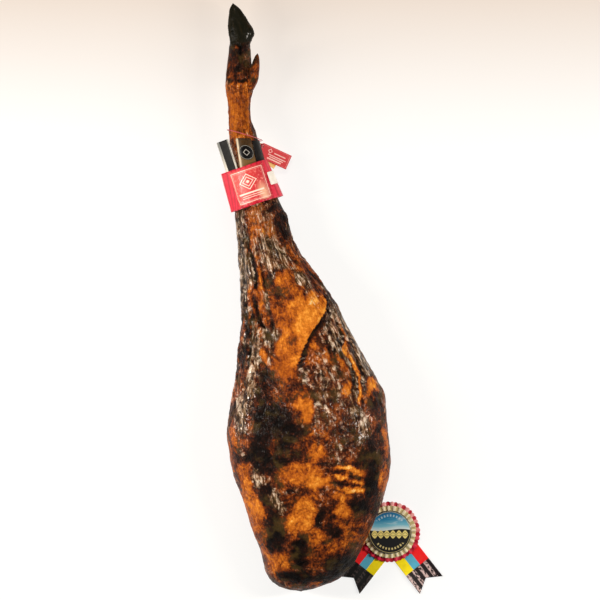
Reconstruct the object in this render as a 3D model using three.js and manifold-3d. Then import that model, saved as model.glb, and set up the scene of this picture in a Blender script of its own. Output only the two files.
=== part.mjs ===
// A whole cured ham with its trotter, lying on its inner side, in millimetres.
// +Y runs from the butt to the trotter, +Z is up and the skin side faces up.
// Round its shank it wears a card band with a square label, a black collar, a
// small leaflet and a swing tag on a string. An award rosette lies beside the
// butt, with its rim tucked under the flank.
// The origin is the middle of the bottom of everything's bounding box.
import * as THREE from 'three'
import { ParametricGeometry } from 'three/addons/geometries/ParametricGeometry.js'
import { mergeVertices } from 'three/addons/utils/BufferGeometryUtils.js'
import Module from 'manifold-3d'

const wasm = await Module()
wasm.setup()

// ---------------------------------------------------------------- driving sizes
const FLOOR_Z = 0
const GAP = 0.5 // clearance between pieces that touch
const CARD = 0.7 // thickness of the card of bands, labels and tags
const FULL_TURN = 2 * Math.PI

// The ham's outline from the butt to the toes, one row per station:
// [y, left, right, bottom, top]. A bottom below the floor is pressed flat on it.
const HAM_STATIONS = [
  [-423.5, 1.5, 1.5, 42, 42],
  [-419, -23, 21.5, 24, 63],
  [-409, -40, 44.5, 9, 77],
  [-394.5, -50, 64, -1, 89],
  [-371.5, -56, 82, -6, 101],
  [-334, -68, 101.5, -7, 113],
  [-291, -82, 120.5, -7, 124],
  [-242, -98.5, 131.5, -7, 131],
  [-190, -102, 126, -7, 133],
  [-140, -96, 117.5, -6.5, 130],
  [-89, -89.5, 93.5, -5, 122],
  [-39, -84, 65.5, -2, 112],
  [4, -85, 45, 2, 103],
  [47.5, -86.5, 13, 8, 95],
  [83.5, -89, -9.5, 13, 88],
  [119.5, -93, -21, 18, 83],
  [155.5, -95.5, -37, 22.5, 77.5],
  [191.5, -98.5, -50, 26, 75],
  [227.5, -101.5, -60.5, 28, 74],
  [259, -103, -70, 30, 71],
  [279.5, -104.5, -70.5, 30, 72],
  [299.5, -106.5, -67.5, 29, 74.5],
  [325.5, -106.5, -69, 29, 74],
  [348.5, -103.5, -70.5, 30, 71],
  [368.5, -101.5, -72, 31, 69],
  [381.5, -98, -76, 36, 64],
  [389, -87, -87, 50, 50]
]
const HAM_ALONG = 74
const HAM_AROUND = 30
const BELLY = 0.4 // height of the widest line of the body, as a share of its thickness
const SHANK_MIDDLE = 0.5 // the same on the shank and foot
const BODY_ENDS_Y = 0
const SHANK_STARTS_Y = 160
const BODY_ROUNDNESS = 2.35 // superellipse powers: 2 is an ellipse, more is squarer
const SHANK_ROUNDNESS = 2.1

// Toes and dewclaws: [x, y, z, half width across, half thickness] from root to tip.
const FOOT_MIDDLE_Z = 50
const TOE_SPREAD = 10.4
const TOE_STATIONS = [
  [-86, 358, 0, 0, 0],
  [-86.4, 363, 0, 12, 7],
  [-85, 374.5, 0, 16.5, 9.4],
  [-84.6, 383, 0, 18.6, 9.9],
  [-87.8, 394.5, 0, 15.4, 9.3],
  [-91, 406, 0, 11.6, 8],
  [-93.8, 416, 0, 7.2, 5.6],
  [-96.5, 424, 0, 0, 0]
]
const DEWCLAW_SPREAD = 12.5
const DEWCLAW_STATIONS = [
  [-81, 288, -3, 0, 0],
  [-79, 296, -2, 9, 7.5],
  [-70.5, 312, 0, 9.4, 8],
  [-66, 326, 1.5, 7.2, 6.8],
  [-63.5, 338, 2.5, 5.2, 5.2],
  [-61.8, 347, 3, 2.9, 3],
  [-61, 351.5, 3, 0, 0]
]

// The band: a card sleeve pressed flat once, so its left side keeps a crease.
const BAND_CENTRE = new THREE.Vector3(-71.8, 161.7, 50)
const BAND_TILT = 18.2 * THREE.MathUtils.DEG2RAD
const BAND_HALF_HEIGHT = 28.5
const BAND_TOP = { middle: 6.8, halfWidth: 27.6, halfDepth: 31.5, crease: -34 }
const BAND_FOOT = { middle: 3.8, halfWidth: 36.6, halfDepth: 33.6, crease: -37 }
const CREASE_LIFT = 6
const BAND_STRAIGHT_SHARE = 0.16 // share of the section on each straight side of the crease

const LABEL_WIDTH = 48.5
const LABEL_HEIGHT = 50.5
const LABEL_LEFT = -22.7
const LABEL_FOOT = -25.5
const STICKER_LEFT = 28.5
const STICKER_END_TURN = 0.52 // past the band's right edge, on its underside
const STICKER_HEIGHT = 19
const STICKER_FOOT = -9

// The collar and the film label hug the shank above the band.
const COLLAR_FOOT_Y = 176
const COLLAR_TOP_Y = 229
const COLLAR_SPAN = [-38, 60] // degrees round the shank, 90 is straight up
const COLLAR_INSET = 3 // how far its top edge stays below the film label's
const FILM_SPAN = [63, 118]

// The leaflet stands between the band and the shank, in the band's own frame.
const LEAFLET = {
  width: 20, height: 53, pages: 1.4, card: 0.5, gap: 0.3, middle: [-17.6, 17], foot: 20, turn: 38.4
}
const LEAFLET_BACK_SHIFT = -2.8

// The tag and its string.
const STRING_DIAMETER = 1.2
const TAG_LENGTH = 54
const TAG_WIDTH = 21.6
const TAG_CORNER_CUT = 5
const TAG_TOP = new THREE.Vector3(-56.5, 226, 29) // the corner that the string holds
const TAG_TURN = -24 * THREE.MathUtils.DEG2RAD
const TAG_DROOP = 27.5 * THREE.MathUtils.DEG2RAD
const TAG_BACK = { shorter: 10, shift: [2, -0.5], drop: 1.3, fan: -7 * THREE.MathUtils.DEG2RAD }

// The rosette, lying flat on the floor.
const ROSETTE = new THREE.Vector3(130.3, -339.4, 0)
const BUTTON_RADIUS = 31.4
const INNER_RUFFLE_RADIUS = 38.5
const OUTER_RUFFLE_RADIUS = 44
const PLEATS = 26
const TAIL_WIDTH = 42
const TAIL_LENGTH = 98
const TAIL_NOTCH = 13
const TAIL_SPREAD = 38 * THREE.MathUtils.DEG2RAD
const TAIL_ROOT = { width: 23, length: 30 } // the narrow top of a tail, under the ruffles
const RIBBON = 0.5 // thickness of a tail
const RUFFLE = 0.8 // thickness of a pleated ring, and how far its pleats reach in and out
const OUTER_RUFFLE_HOLE = 22
const INNER_RUFFLE_HOLE = 20
const BACKING = { radius: 30, thick: 1 }
const BUTTON_THICK = 2.6
const ROSETTE_LEVELS = { leftTail: 0.3, rightTail: 1.2, backing: 2.1, outer: 3.6, inner: 6, button: 9.4 }

const COLOURS = {
  ham: 0x5a2c10, red: 0xb3121f, label: 0xc63a34, white: 0xece6dc, black: 0x0c0b0c,
  film: 0x5b3a1c, gold: 0xd8a23a, cream: 0xcdbb8c, pages: 0xe8e2d4, string: 0xb02a30
}

// ---------------------------------------------------------------- shared helpers
/** A closed mesh: only positions, shared vertices merged, no triangle without area. */
function closed (geometry) {
  geometry.deleteAttribute('normal')
  geometry.deleteAttribute('uv')
  const merged = mergeVertices(geometry, 1e-3)
  const kept = []
  const index = merged.index.array
  for (let i = 0; i < index.length; i += 3) {
    const [a, b, c] = [index[i], index[i + 1], index[i + 2]]
    if (a !== b && b !== c && c !== a) kept.push(a, b, c)
  }
  merged.setIndex(kept)
  return merged
}

/** Turns a closed mesh's faces round if they point inwards. */
function facingOut (geometry) {
  const p = geometry.attributes.position
  const index = geometry.index.array
  const [a, b, c] = [new THREE.Vector3(), new THREE.Vector3(), new THREE.Vector3()]
  let volume = 0
  for (let i = 0; i < index.length; i += 3) {
    a.fromBufferAttribute(p, index[i])
    b.fromBufferAttribute(p, index[i + 1])
    c.fromBufferAttribute(p, index[i + 2])
    volume += a.dot(b.cross(c))
  }
  if (volume < 0) index.reverse()
  return geometry
}

/** A closed solid from a surface function place(u, v, target) whose edges meet. */
function solidOf (place, slices, stacks) {
  return facingOut(closed(new ParametricGeometry(place, slices, stacks)))
}

/** A box of unit size bent by place(x, y, z), with x, y and z from -0.5 to 0.5. */
function bentBox (place, across, along) {
  const box = new THREE.BoxGeometry(1, 1, 1, across, along, 1)
  const p = box.attributes.position
  for (let i = 0; i < p.count; i++) {
    const q = place(p.getX(i), p.getY(i), p.getZ(i))
    p.setXYZ(i, q.x, q.y, q.z)
  }
  return facingOut(closed(box))
}

function toManifold (geometry) {
  return new wasm.Manifold(new wasm.Mesh({
    numProp: 3,
    vertProperties: new Float32Array(geometry.attributes.position.array),
    triVerts: new Uint32Array(geometry.index.array)
  }))
}

function fromManifold (solid) {
  const mesh = solid.getMesh()
  const geometry = new THREE.BufferGeometry()
  geometry.setAttribute('position', new THREE.BufferAttribute(mesh.vertProperties, 3))
  geometry.setIndex(new THREE.BufferAttribute(mesh.triVerts, 1))
  return geometry
}

function material (colour, roughness) {
  return new THREE.MeshStandardMaterial({ color: colour, roughness, metalness: 0 })
}

function piece (name, geometry, colour, roughness = 0.5) {
  const mesh = new THREE.Mesh(geometry, material(colour, roughness))
  mesh.name = name
  return mesh
}

// ---------------------------------------------------------------- the ham
const outline = new THREE.CubicInterpolant(
  HAM_STATIONS.map((row, i) => i), HAM_STATIONS.flat(), 5, new Array(5))

/** The outline at station s: { y, left, right, bottom, top }. */
function stationAt (s) {
  const [y, left, right, bottom, top] = outline.evaluate(s)
  return { y, left, right, bottom, top }
}

/** The station whose y is the one asked for, found by halving. */
function stationOf (y) {
  let [low, high] = [0, HAM_STATIONS.length - 1]
  for (let i = 0; i < 40; i++) {
    const middle = (low + high) / 2
    if (stationAt(middle).y < y) low = middle
    else high = middle
  }
  return low
}

/** Signed power, for superellipses. */
const power = (v, n) => Math.sign(v) * Math.abs(v) ** n

/** The point at station s and angle a of the ham's section, gap outside its skin. */
function hamPoint (s, a, gap = 0) {
  const row = stationAt(s)
  const shank = THREE.MathUtils.smoothstep(row.y, BODY_ENDS_Y, SHANK_STARTS_Y)
  const widest = THREE.MathUtils.lerp(BELLY, SHANK_MIDDLE, shank)
  const n = THREE.MathUtils.lerp(BODY_ROUNDNESS, SHANK_ROUNDNESS, shank)
  const half = (row.right - row.left) / 2 + gap
  const middleZ = THREE.MathUtils.lerp(row.bottom, row.top, widest)
  const tall = (Math.sin(a) > 0 ? row.top - middleZ : middleZ - row.bottom) + gap
  return new THREE.Vector3(
    (row.left + row.right) / 2 + half * power(Math.cos(a), 2 / n),
    row.y,
    Math.max(FLOOR_Z, middleZ + tall * power(Math.sin(a), 2 / n)))
}

/** A horn: ellipses of the stations' sizes across x and z, closed at both ends. */
function horn (stations, middleZ, side) {
  const shape = new THREE.CubicInterpolant(
    stations.map((row, i) => i), stations.flat(), 5, new Array(5))
  const last = stations.length - 1
  return solidOf((u, v, target) => {
    const [x, y, lift, across, thick] = shape.evaluate(v * last)
    const a = u * FULL_TURN
    target.set(x + across * Math.cos(a), y, middleZ + side * lift + thick * Math.sin(a))
  }, 14, 12)
}

function hamGeometry () {
  const last = HAM_STATIONS.length - 1
  const leg = solidOf((u, v, target) => {
    target.copy(hamPoint(v * last, u * FULL_TURN))
  }, HAM_AROUND, HAM_ALONG)
  let solid = toManifold(leg)
  for (const side of [-1, 1]) {
    const toe = horn(TOE_STATIONS, FOOT_MIDDLE_Z + side * TOE_SPREAD, side)
    const dewclaw = horn(DEWCLAW_STATIONS, FOOT_MIDDLE_Z + side * DEWCLAW_SPREAD, side)
    solid = solid.add(toManifold(toe)).add(toManifold(dewclaw))
  }
  return fromManifold(solid)
}

// ---------------------------------------------------------------- band and labels
/** The band's own frame: x across the shank, y along it to the trotter, z up. */
function bandFrame () {
  const frame = new THREE.Group()
  frame.position.copy(BAND_CENTRE)
  frame.rotation.z = BAND_TILT
  return frame
}

/**
 * The band's section at height y, grown by a thickness: straight sides run from the
 * crease to an ellipse round the shank. Returns the point at u, from 0 to 1, which
 * goes from the crease over the top, round the right and back underneath.
 */
function bandSection (y, u, grow) {
  const k = (y + BAND_HALF_HEIGHT) / (2 * BAND_HALF_HEIGHT)
  const mix = key => THREE.MathUtils.lerp(BAND_FOOT[key], BAND_TOP[key], k)
  const [middle, wide, deep] = [mix('middle'), mix('halfWidth') + grow, mix('halfDepth') + grow]
  const crease = new THREE.Vector2((mix('crease') - 1.5 * grow - middle) / wide, CREASE_LIFT / deep)
  const facing = Math.atan2(crease.y, crease.x)
  const reach = Math.acos(1 / crease.length())
  const [from, to] = [facing - reach, facing + reach - FULL_TURN]
  const straight = BAND_STRAIGHT_SHARE
  const touch = u < 0.5 ? from : to
  const onCircle = new THREE.Vector2(Math.cos(touch), Math.sin(touch))
  if (u <= straight) onCircle.lerpVectors(crease, onCircle.clone(), u / straight)
  else if (u >= 1 - straight) onCircle.lerpVectors(crease, onCircle.clone(), (1 - u) / straight)
  else {
    const a = THREE.MathUtils.lerp(from, to, (u - straight) / (1 - 2 * straight))
    onCircle.set(Math.cos(a), Math.sin(a))
  }
  return new THREE.Vector3(middle + wide * onCircle.x, y, deep * onCircle.y)
}

/** The closed wall of the band: its section is a thin rectangle carried round. */
function bandGeometry () {
  const rims = [[0, -1], [CARD, -1], [CARD, 1], [0, 1], [0, -1]]
  return solidOf((u, v, target) => {
    const corner = Math.min(Math.floor(v * 4 + 1e-6), 3)
    const part = v * 4 - corner
    const grow = THREE.MathUtils.lerp(rims[corner][0], rims[corner + 1][0], part)
    const end = THREE.MathUtils.lerp(rims[corner][1], rims[corner + 1][1], part)
    target.copy(bandSection(end * BAND_HALF_HEIGHT, u % 1, grow))
  }, 50, 8)
}

/** u on the band's top side where its outer face has this x at height y. */
function bandTurnAt (y, x) {
  let [low, high] = [0, 0.5]
  for (let i = 0; i < 30; i++) {
    const middle = (low + high) / 2
    if (bandSection(y, middle, CARD).x < x) low = middle
    else high = middle
  }
  return low
}

/** A card stuck on the band, between two x places and two heights. */
function onBand (left, right, foot, height, across) {
  return bentBox((x, y, z) => {
    const level = foot + (y + 0.5) * height
    const from = bandTurnAt(level, left)
    const to = typeof right === 'number' ? bandTurnAt(level, right) : right.turn
    return bandSection(level, THREE.MathUtils.lerp(from, to, x + 0.5), CARD + GAP + (z + 0.5) * CARD)
  }, across, 6)
}

/** A card that hugs the shank between two angles, from the band up to the string. */
function onShank ([fromAngle, toAngle], inset) {
  return bentBox((x, y, z) => {
    const level = THREE.MathUtils.lerp(COLLAR_FOOT_Y, COLLAR_TOP_Y - inset, y + 0.5)
    const a = THREE.MathUtils.lerp(fromAngle, toAngle, x + 0.5) * THREE.MathUtils.DEG2RAD
    const gap = 2 * GAP + (z + 0.5) * CARD
    return hamPoint(stationOf(level), a, gap)
  }, 14, 8)
}

function leafletParts () {
  const holder = new THREE.Group()
  holder.position.set(LEAFLET.middle[0], LEAFLET.foot + LEAFLET.height / 2, LEAFLET.middle[1])
  holder.rotation.y = -LEAFLET.turn * THREE.MathUtils.DEG2RAD
  const sheet = thick => closed(new THREE.BoxGeometry(LEAFLET.width, LEAFLET.height, thick))
  const apart = (LEAFLET.pages + LEAFLET.card) / 2 + LEAFLET.gap
  const pages = piece('leaflet_pages', sheet(LEAFLET.pages), COLOURS.pages)
  const cover = piece('leaflet_cover', sheet(LEAFLET.card), COLOURS.black)
  cover.position.z = apart
  const back = piece('leaflet_back', sheet(LEAFLET.card), COLOURS.white)
  back.position.set(LEAFLET_BACK_SHIFT, 0, -apart)
  holder.add(pages, cover, back)
  return holder
}

// ---------------------------------------------------------------- string and tag
/**
 * The string's route: from the tag's hole to the shank's right side, over its top,
 * down its left side, underneath and back to the hole beside where it began.
 */
function stringRoute () {
  const centre = new THREE.Vector3(-81.6, 235.4, 51)
  const reach = [23, 25.6] // half width and half depth of the loop
  const slope = Math.tan(16.3 * THREE.MathUtils.DEG2RAD)
  const points = [new THREE.Vector3(-54.4, 227.6, 31.5), new THREE.Vector3(-56.2, 228.4, 38)]
  for (const degrees of [-8, 20, 50, 80, 110, 140, 170, 200, 230, 260, 290, 318]) {
    const a = degrees * THREE.MathUtils.DEG2RAD
    const x = reach[0] * Math.cos(a)
    points.push(new THREE.Vector3(
      centre.x + x, centre.y - x * slope, centre.z + reach[1] * Math.sin(a)))
  }
  points.push(new THREE.Vector3(-59.4, 227.5, 33), new THREE.Vector3(-56, 226.6, 30.6))
  return new THREE.CatmullRomCurve3(points, false, 'centripetal')
}

function stringGeometry () {
  const section = new THREE.Shape().absarc(0, 0, STRING_DIAMETER / 2, 0, FULL_TURN)
  return facingOut(closed(new THREE.ExtrudeGeometry(section, {
    steps: 72, extrudePath: stringRoute(), curveSegments: 4, bevelEnabled: false
  })))
}

/** One leaf of the tag: a card with its string corner cut off, held at that corner. */
function tagLeaf (length, width) {
  const cut = TAG_CORNER_CUT
  const shape = new THREE.Shape()
  shape.moveTo(cut, 0)
  shape.lineTo(length, 0)
  shape.lineTo(length, -width)
  shape.lineTo(0, -width)
  shape.lineTo(0, -cut)
  shape.closePath()
  return closed(new THREE.ExtrudeGeometry(shape, { depth: CARD, bevelEnabled: false }))
}

function tagParts () {
  const holder = new THREE.Group()
  holder.position.copy(TAG_TOP)
  holder.rotation.set(0, TAG_DROOP, TAG_TURN, 'ZYX')
  const front = piece('hang_tag', tagLeaf(TAG_LENGTH, TAG_WIDTH), COLOURS.red)
  const back = piece('hang_tag_back', tagLeaf(TAG_LENGTH - TAG_BACK.shorter, TAG_WIDTH), COLOURS.gold)
  back.position.set(...TAG_BACK.shift, -TAG_BACK.drop)
  back.rotation.z = TAG_BACK.fan
  holder.add(front, back)
  return holder
}

// ---------------------------------------------------------------- rosette
/** A pleated ring between two radii: it rises to its edge, which waves once per pleat. */
function ruffle (inner, outer, rise, wave) {
  const corners = [[inner, 0], [outer, rise], [outer, rise + RUFFLE], [inner, RUFFLE], [inner, 0]]
  return solidOf((u, v, target) => {
    const corner = Math.min(Math.floor(v * 4 + 1e-6), 3)
    const part = v * 4 - corner
    const r = THREE.MathUtils.lerp(corners[corner][0], corners[corner + 1][0], part)
    const z = THREE.MathUtils.lerp(corners[corner][1], corners[corner + 1][1], part)
    const a = u * FULL_TURN
    const out = (r - inner) / (outer - inner)
    const fold = out * Math.cos(PLEATS * a)
    const reach = r + RUFFLE * fold
    target.set(reach * Math.cos(a), reach * Math.sin(a), z + wave * (fold + out))
  }, PLEATS * 4, 4)
}

/** A flat swallowtail ribbon, hanging from the rosette's middle. */
function tailGeometry () {
  const half = TAIL_WIDTH / 2
  const shape = new THREE.Shape()
  shape.moveTo(-TAIL_ROOT.width / 2, 0)
  shape.lineTo(TAIL_ROOT.width / 2, 0)
  shape.lineTo(half, -TAIL_ROOT.length)
  shape.lineTo(half, -TAIL_LENGTH)
  shape.lineTo(0, -TAIL_LENGTH + TAIL_NOTCH)
  shape.lineTo(-half, -TAIL_LENGTH)
  shape.lineTo(-half, -TAIL_ROOT.length)
  shape.closePath()
  return closed(new THREE.ExtrudeGeometry(shape, { depth: RIBBON, bevelEnabled: false }))
}

/** A flat disc whose upper rim is bevelled. */
function disc (radius, thick) {
  const profile = [[0, 0], [radius, 0], [radius, thick * 0.5], [radius * 0.96, thick], [0, thick]]
  return facingOut(closed(new THREE.LatheGeometry(
    profile.map(([r, z]) => new THREE.Vector2(r, z)), 48).rotateX(Math.PI / 2)))
}

function rosetteParts () {
  const holder = new THREE.Group()
  holder.position.copy(ROSETTE)
  const parts = {
    leftTail: piece('rosette_tail_left', tailGeometry(), COLOURS.gold),
    rightTail: piece('rosette_tail_right', tailGeometry(), COLOURS.gold),
    backing: piece('rosette_backing', disc(BACKING.radius, BACKING.thick), COLOURS.white),
    outer: piece('rosette_outer_ruffle',
      ruffle(OUTER_RUFFLE_HOLE, OUTER_RUFFLE_RADIUS, -1.2, 1.3), COLOURS.red),
    inner: piece('rosette_inner_ruffle',
      ruffle(INNER_RUFFLE_HOLE, INNER_RUFFLE_RADIUS, 0.6, 1.1), COLOURS.cream),
    button: piece('rosette_button', disc(BUTTON_RADIUS, BUTTON_THICK), COLOURS.black, 0.25)
  }
  parts.leftTail.rotation.z = -TAIL_SPREAD
  parts.rightTail.rotation.z = TAIL_SPREAD
  for (const [name, mesh] of Object.entries(parts)) {
    mesh.position.z = ROSETTE_LEVELS[name]
    holder.add(mesh)
  }
  return holder
}

// ---------------------------------------------------------------- the whole ham
const group = new THREE.Group()
group.add(piece('ham', hamGeometry(), COLOURS.ham, 0.4))

const band = bandFrame()
band.add(
  piece('neck_band', bandGeometry(), COLOURS.red),
  piece('front_label', onBand(LABEL_LEFT, LABEL_LEFT + LABEL_WIDTH, LABEL_FOOT, LABEL_HEIGHT, 16),
    COLOURS.label),
  piece('side_sticker',
    onBand(STICKER_LEFT, { turn: STICKER_END_TURN }, STICKER_FOOT, STICKER_HEIGHT, 6), COLOURS.white),
  leafletParts())
group.add(band)
group.add(piece('collar', onShank(COLLAR_SPAN, COLLAR_INSET), COLOURS.black))
group.add(piece('film_label', onShank(FILM_SPAN, 0), COLOURS.film))
group.add(piece('tag_string', stringGeometry(), COLOURS.string))
group.add(tagParts())
group.add(rosetteParts())

// The origin goes to the middle of the bottom of the bounding box.
const box = new THREE.Box3().setFromObject(group, true)
const middle = box.getCenter(new THREE.Vector3())
for (const child of group.children) {
  child.position.x -= middle.x
  child.position.y -= middle.y
}

export default group
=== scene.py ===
"""A whole cured ham with its band, labels, swing tag and award rosette.

The ham lies on its inner side with its skin up. Lengths in the classes below are millimetres in the
ham's own drawing frame: x across, y from the butt to the trotter, z up from the surface it lies on.
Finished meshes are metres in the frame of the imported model.
"""

import logging
import math
from dataclasses import dataclass, field
from enum import Enum
from typing import Protocol

import bpy
import numpy as np
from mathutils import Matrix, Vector


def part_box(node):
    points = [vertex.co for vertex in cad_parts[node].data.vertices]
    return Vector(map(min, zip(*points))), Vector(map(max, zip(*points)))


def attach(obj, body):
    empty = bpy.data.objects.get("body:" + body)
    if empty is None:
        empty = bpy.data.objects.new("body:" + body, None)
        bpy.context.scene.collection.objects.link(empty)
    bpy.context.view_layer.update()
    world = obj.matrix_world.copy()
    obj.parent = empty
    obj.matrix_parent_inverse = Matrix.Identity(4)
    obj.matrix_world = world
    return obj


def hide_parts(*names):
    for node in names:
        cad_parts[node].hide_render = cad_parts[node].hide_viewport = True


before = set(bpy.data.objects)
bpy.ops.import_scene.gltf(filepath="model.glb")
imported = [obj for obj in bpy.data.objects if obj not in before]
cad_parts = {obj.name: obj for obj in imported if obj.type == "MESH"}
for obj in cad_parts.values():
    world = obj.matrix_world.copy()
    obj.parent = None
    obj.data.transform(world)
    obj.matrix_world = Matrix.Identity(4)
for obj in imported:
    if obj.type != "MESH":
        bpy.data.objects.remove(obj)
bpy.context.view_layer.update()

log = logging.getLogger("cured_ham")

Array = np.ndarray
Socket = bpy.types.NodeSocket
Material = bpy.types.Material
Pair = tuple[float, float]
Triple = tuple[float, float, float]
Ink = tuple[float, float, float, float]
Value = Socket | float

MM = 0.001
FULL_TURN = 2 * math.pi
BODY = "root"
PRINT_MAP = "Print"  # the UV map of cards and ribbons
SKIN_MAP = "OFBake"  # the UV map of the ham
ROSETTE_CENTRE = (130.3, -339.4)  # where the rosette's button lies in the drawing frame


# ---------------------------------------------------------------- small numeric tools
def drawing_origin() -> Array:
    """Where the drawing frame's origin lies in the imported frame, in mm, found from the rosette's button."""
    low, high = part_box("rosette_button")
    return np.array([(low.x + high.x) / 2 / MM - ROSETTE_CENTRE[0],
                     (low.y + high.y) / 2 / MM - ROSETTE_CENTRE[1], 0.0])


SHIFT = drawing_origin()


def smoothstep(low: float, high: float, value: Array) -> Array:
    """0 below low, 1 above high, and 3t^2 - 2t^3 between them.

    Args:
        low: where the step starts; it may be above high for a falling step.
        high: where the step ends.
        value: the numbers to step.

    Returns:
        The step of each number.
    """
    t = np.clip((value - low) / (high - low), 0, 1)
    return t * t * (3 - 2 * t)


def lerp(a: Array, b: Array, t: Array) -> Array:
    """a at t = 0, b at t = 1."""
    return a + (b - a) * t


def signed_power(value: Array, exponent: Array) -> Array:
    """The sign of a number times the power of its size."""
    return np.sign(value) * np.abs(value) ** exponent


def xyz(x: Array, y: Array, z: Array) -> Array:
    """Points from their three coordinates, each repeated where the others have more."""
    return np.stack(np.broadcast_arrays(x, y, z), -1)


def turned(x: Array, y: Array, angle: float) -> tuple[Array, Array]:
    """Two coordinates turned by an angle: x cos - y sin and x sin + y cos.

    Args:
        x, y: the coordinates.
        angle: in radians, from x towards y.

    Returns:
        The turned x and y.
    """
    c, s = math.cos(angle), math.sin(angle)
    return x * c - y * s, x * s + y * c


def rows_at(table: Array, place: Array) -> Array:
    """A smooth curve through the rows of a table.

    Between rows i and i + 1 it is the cubic whose slope at each row is half the difference between
    the rows on both sides. Past each end stands a row that carries on in a straight line.

    Args:
        table: one row per station.
        place: station numbers, from 0 to the last one, fractions between stations.

    Returns:
        One interpolated row for each place.
    """
    padded = np.vstack([2 * table[0] - table[1], table, 2 * table[-1] - table[-2]])
    first = np.clip(np.floor(place).astype(int), 0, len(table) - 2)
    t = (place - first)[..., None]
    p0, p1, p2, p3 = (padded[first + k] for k in range(4))
    return p1 + 0.5 * t * (p2 - p0 + t * (2 * p0 - 5 * p1 + 4 * p2 - p3 + t * (3 * (p1 - p2) + p3 - p0)))


def unit(vectors: Array) -> Array:
    """Vectors scaled to length one."""
    return vectors / np.maximum(np.linalg.norm(vectors, axis=-1, keepdims=True), 1e-12)


def distance_to_line(x: Array, y: Array, line: Array) -> tuple[Array, Array, Array]:
    """How far points are from a line of straight legs.

    For each leg the nearest point is the foot of the perpendicular, held between its ends.

    Args:
        x, y: the points.
        line: the corners of the line, one row each.

    Returns:
        The distance, the side (+1 left of the line's direction, -1 right) and the share of the line's
        corners passed at the nearest point, from 0 to 1.
    """
    best = np.full(x.shape, np.inf)
    side = np.ones(x.shape)
    share = np.zeros(x.shape)
    for i, (a, b) in enumerate(zip(line[:-1], line[1:])):
        leg = b - a
        t = np.clip(((x - a[0]) * leg[0] + (y - a[1]) * leg[1]) / (leg @ leg), 0, 1)
        dx, dy = x - a[0] - t * leg[0], y - a[1] - t * leg[1]
        d = np.hypot(dx, dy)
        nearer = d < best
        best = np.where(nearer, d, best)
        side = np.where(nearer, np.sign(leg[0] * dy - leg[1] * dx + 1e-12), side)
        share = np.where(nearer, (i + t) / (len(line) - 1), share)
    return best, side, share


class Noise:
    """Seeded smooth noise from -1 to 1: random numbers on a cubic lattice that repeats, with smooth
    blending between its eight nearest corners."""

    def __init__(self, seed: int, period: int = 64) -> None:
        """Draws the lattice."""
        self.period = period
        self.lattice = np.random.default_rng(seed).uniform(-1, 1, (period,) * 3)

    def at(self, points: Array) -> Array:
        """Noise at points given in lattice steps."""
        cell = np.floor(points).astype(int)
        t = points - cell
        t = t * t * (3 - 2 * t)
        total = np.zeros(points.shape[:-1])
        for corner in range(8):
            bits = np.array([corner & 1, corner >> 1 & 1, corner >> 2 & 1])
            i, j, k = np.moveaxis((cell + bits) % self.period, -1, 0)
            weight = np.prod(np.where(bits == 1, t, 1 - t), axis=-1)
            total += weight * self.lattice[i, j, k]
        return total

    def cloud(self, points: Array, size: float | Triple, octaves: int = 4, gain: float = 0.5) -> Array:
        """Sum of octaves, each half the size of the one before and gain times its strength.

        Args:
            points: in mm.
            size: the largest lumps' size in mm, or one size along each axis.
            octaves: how many layers.
            gain: strength of each layer against the one before.

        Returns:
            The sum, scaled back to about -1 to 1.
        """
        scaled = points / np.asarray(size, float)
        total, strength, norm = np.zeros(points.shape[:-1]), 1.0, 0.0
        for layer in range(octaves):
            total += strength * self.at(scaled * 2 ** layer + 17.3 * layer)
            norm += strength
            strength *= gain
        return total / norm * 1.6

    def ridges(self, points: Array, size: float | Triple, octaves: int = 3) -> Array:
        """Sharp-crested noise, 0 in the hollows and 1 on the crests: one less the noise's size, squared."""
        return (1 - np.clip(np.abs(self.cloud(points, size, octaves)), 0, 1)) ** 2


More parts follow.
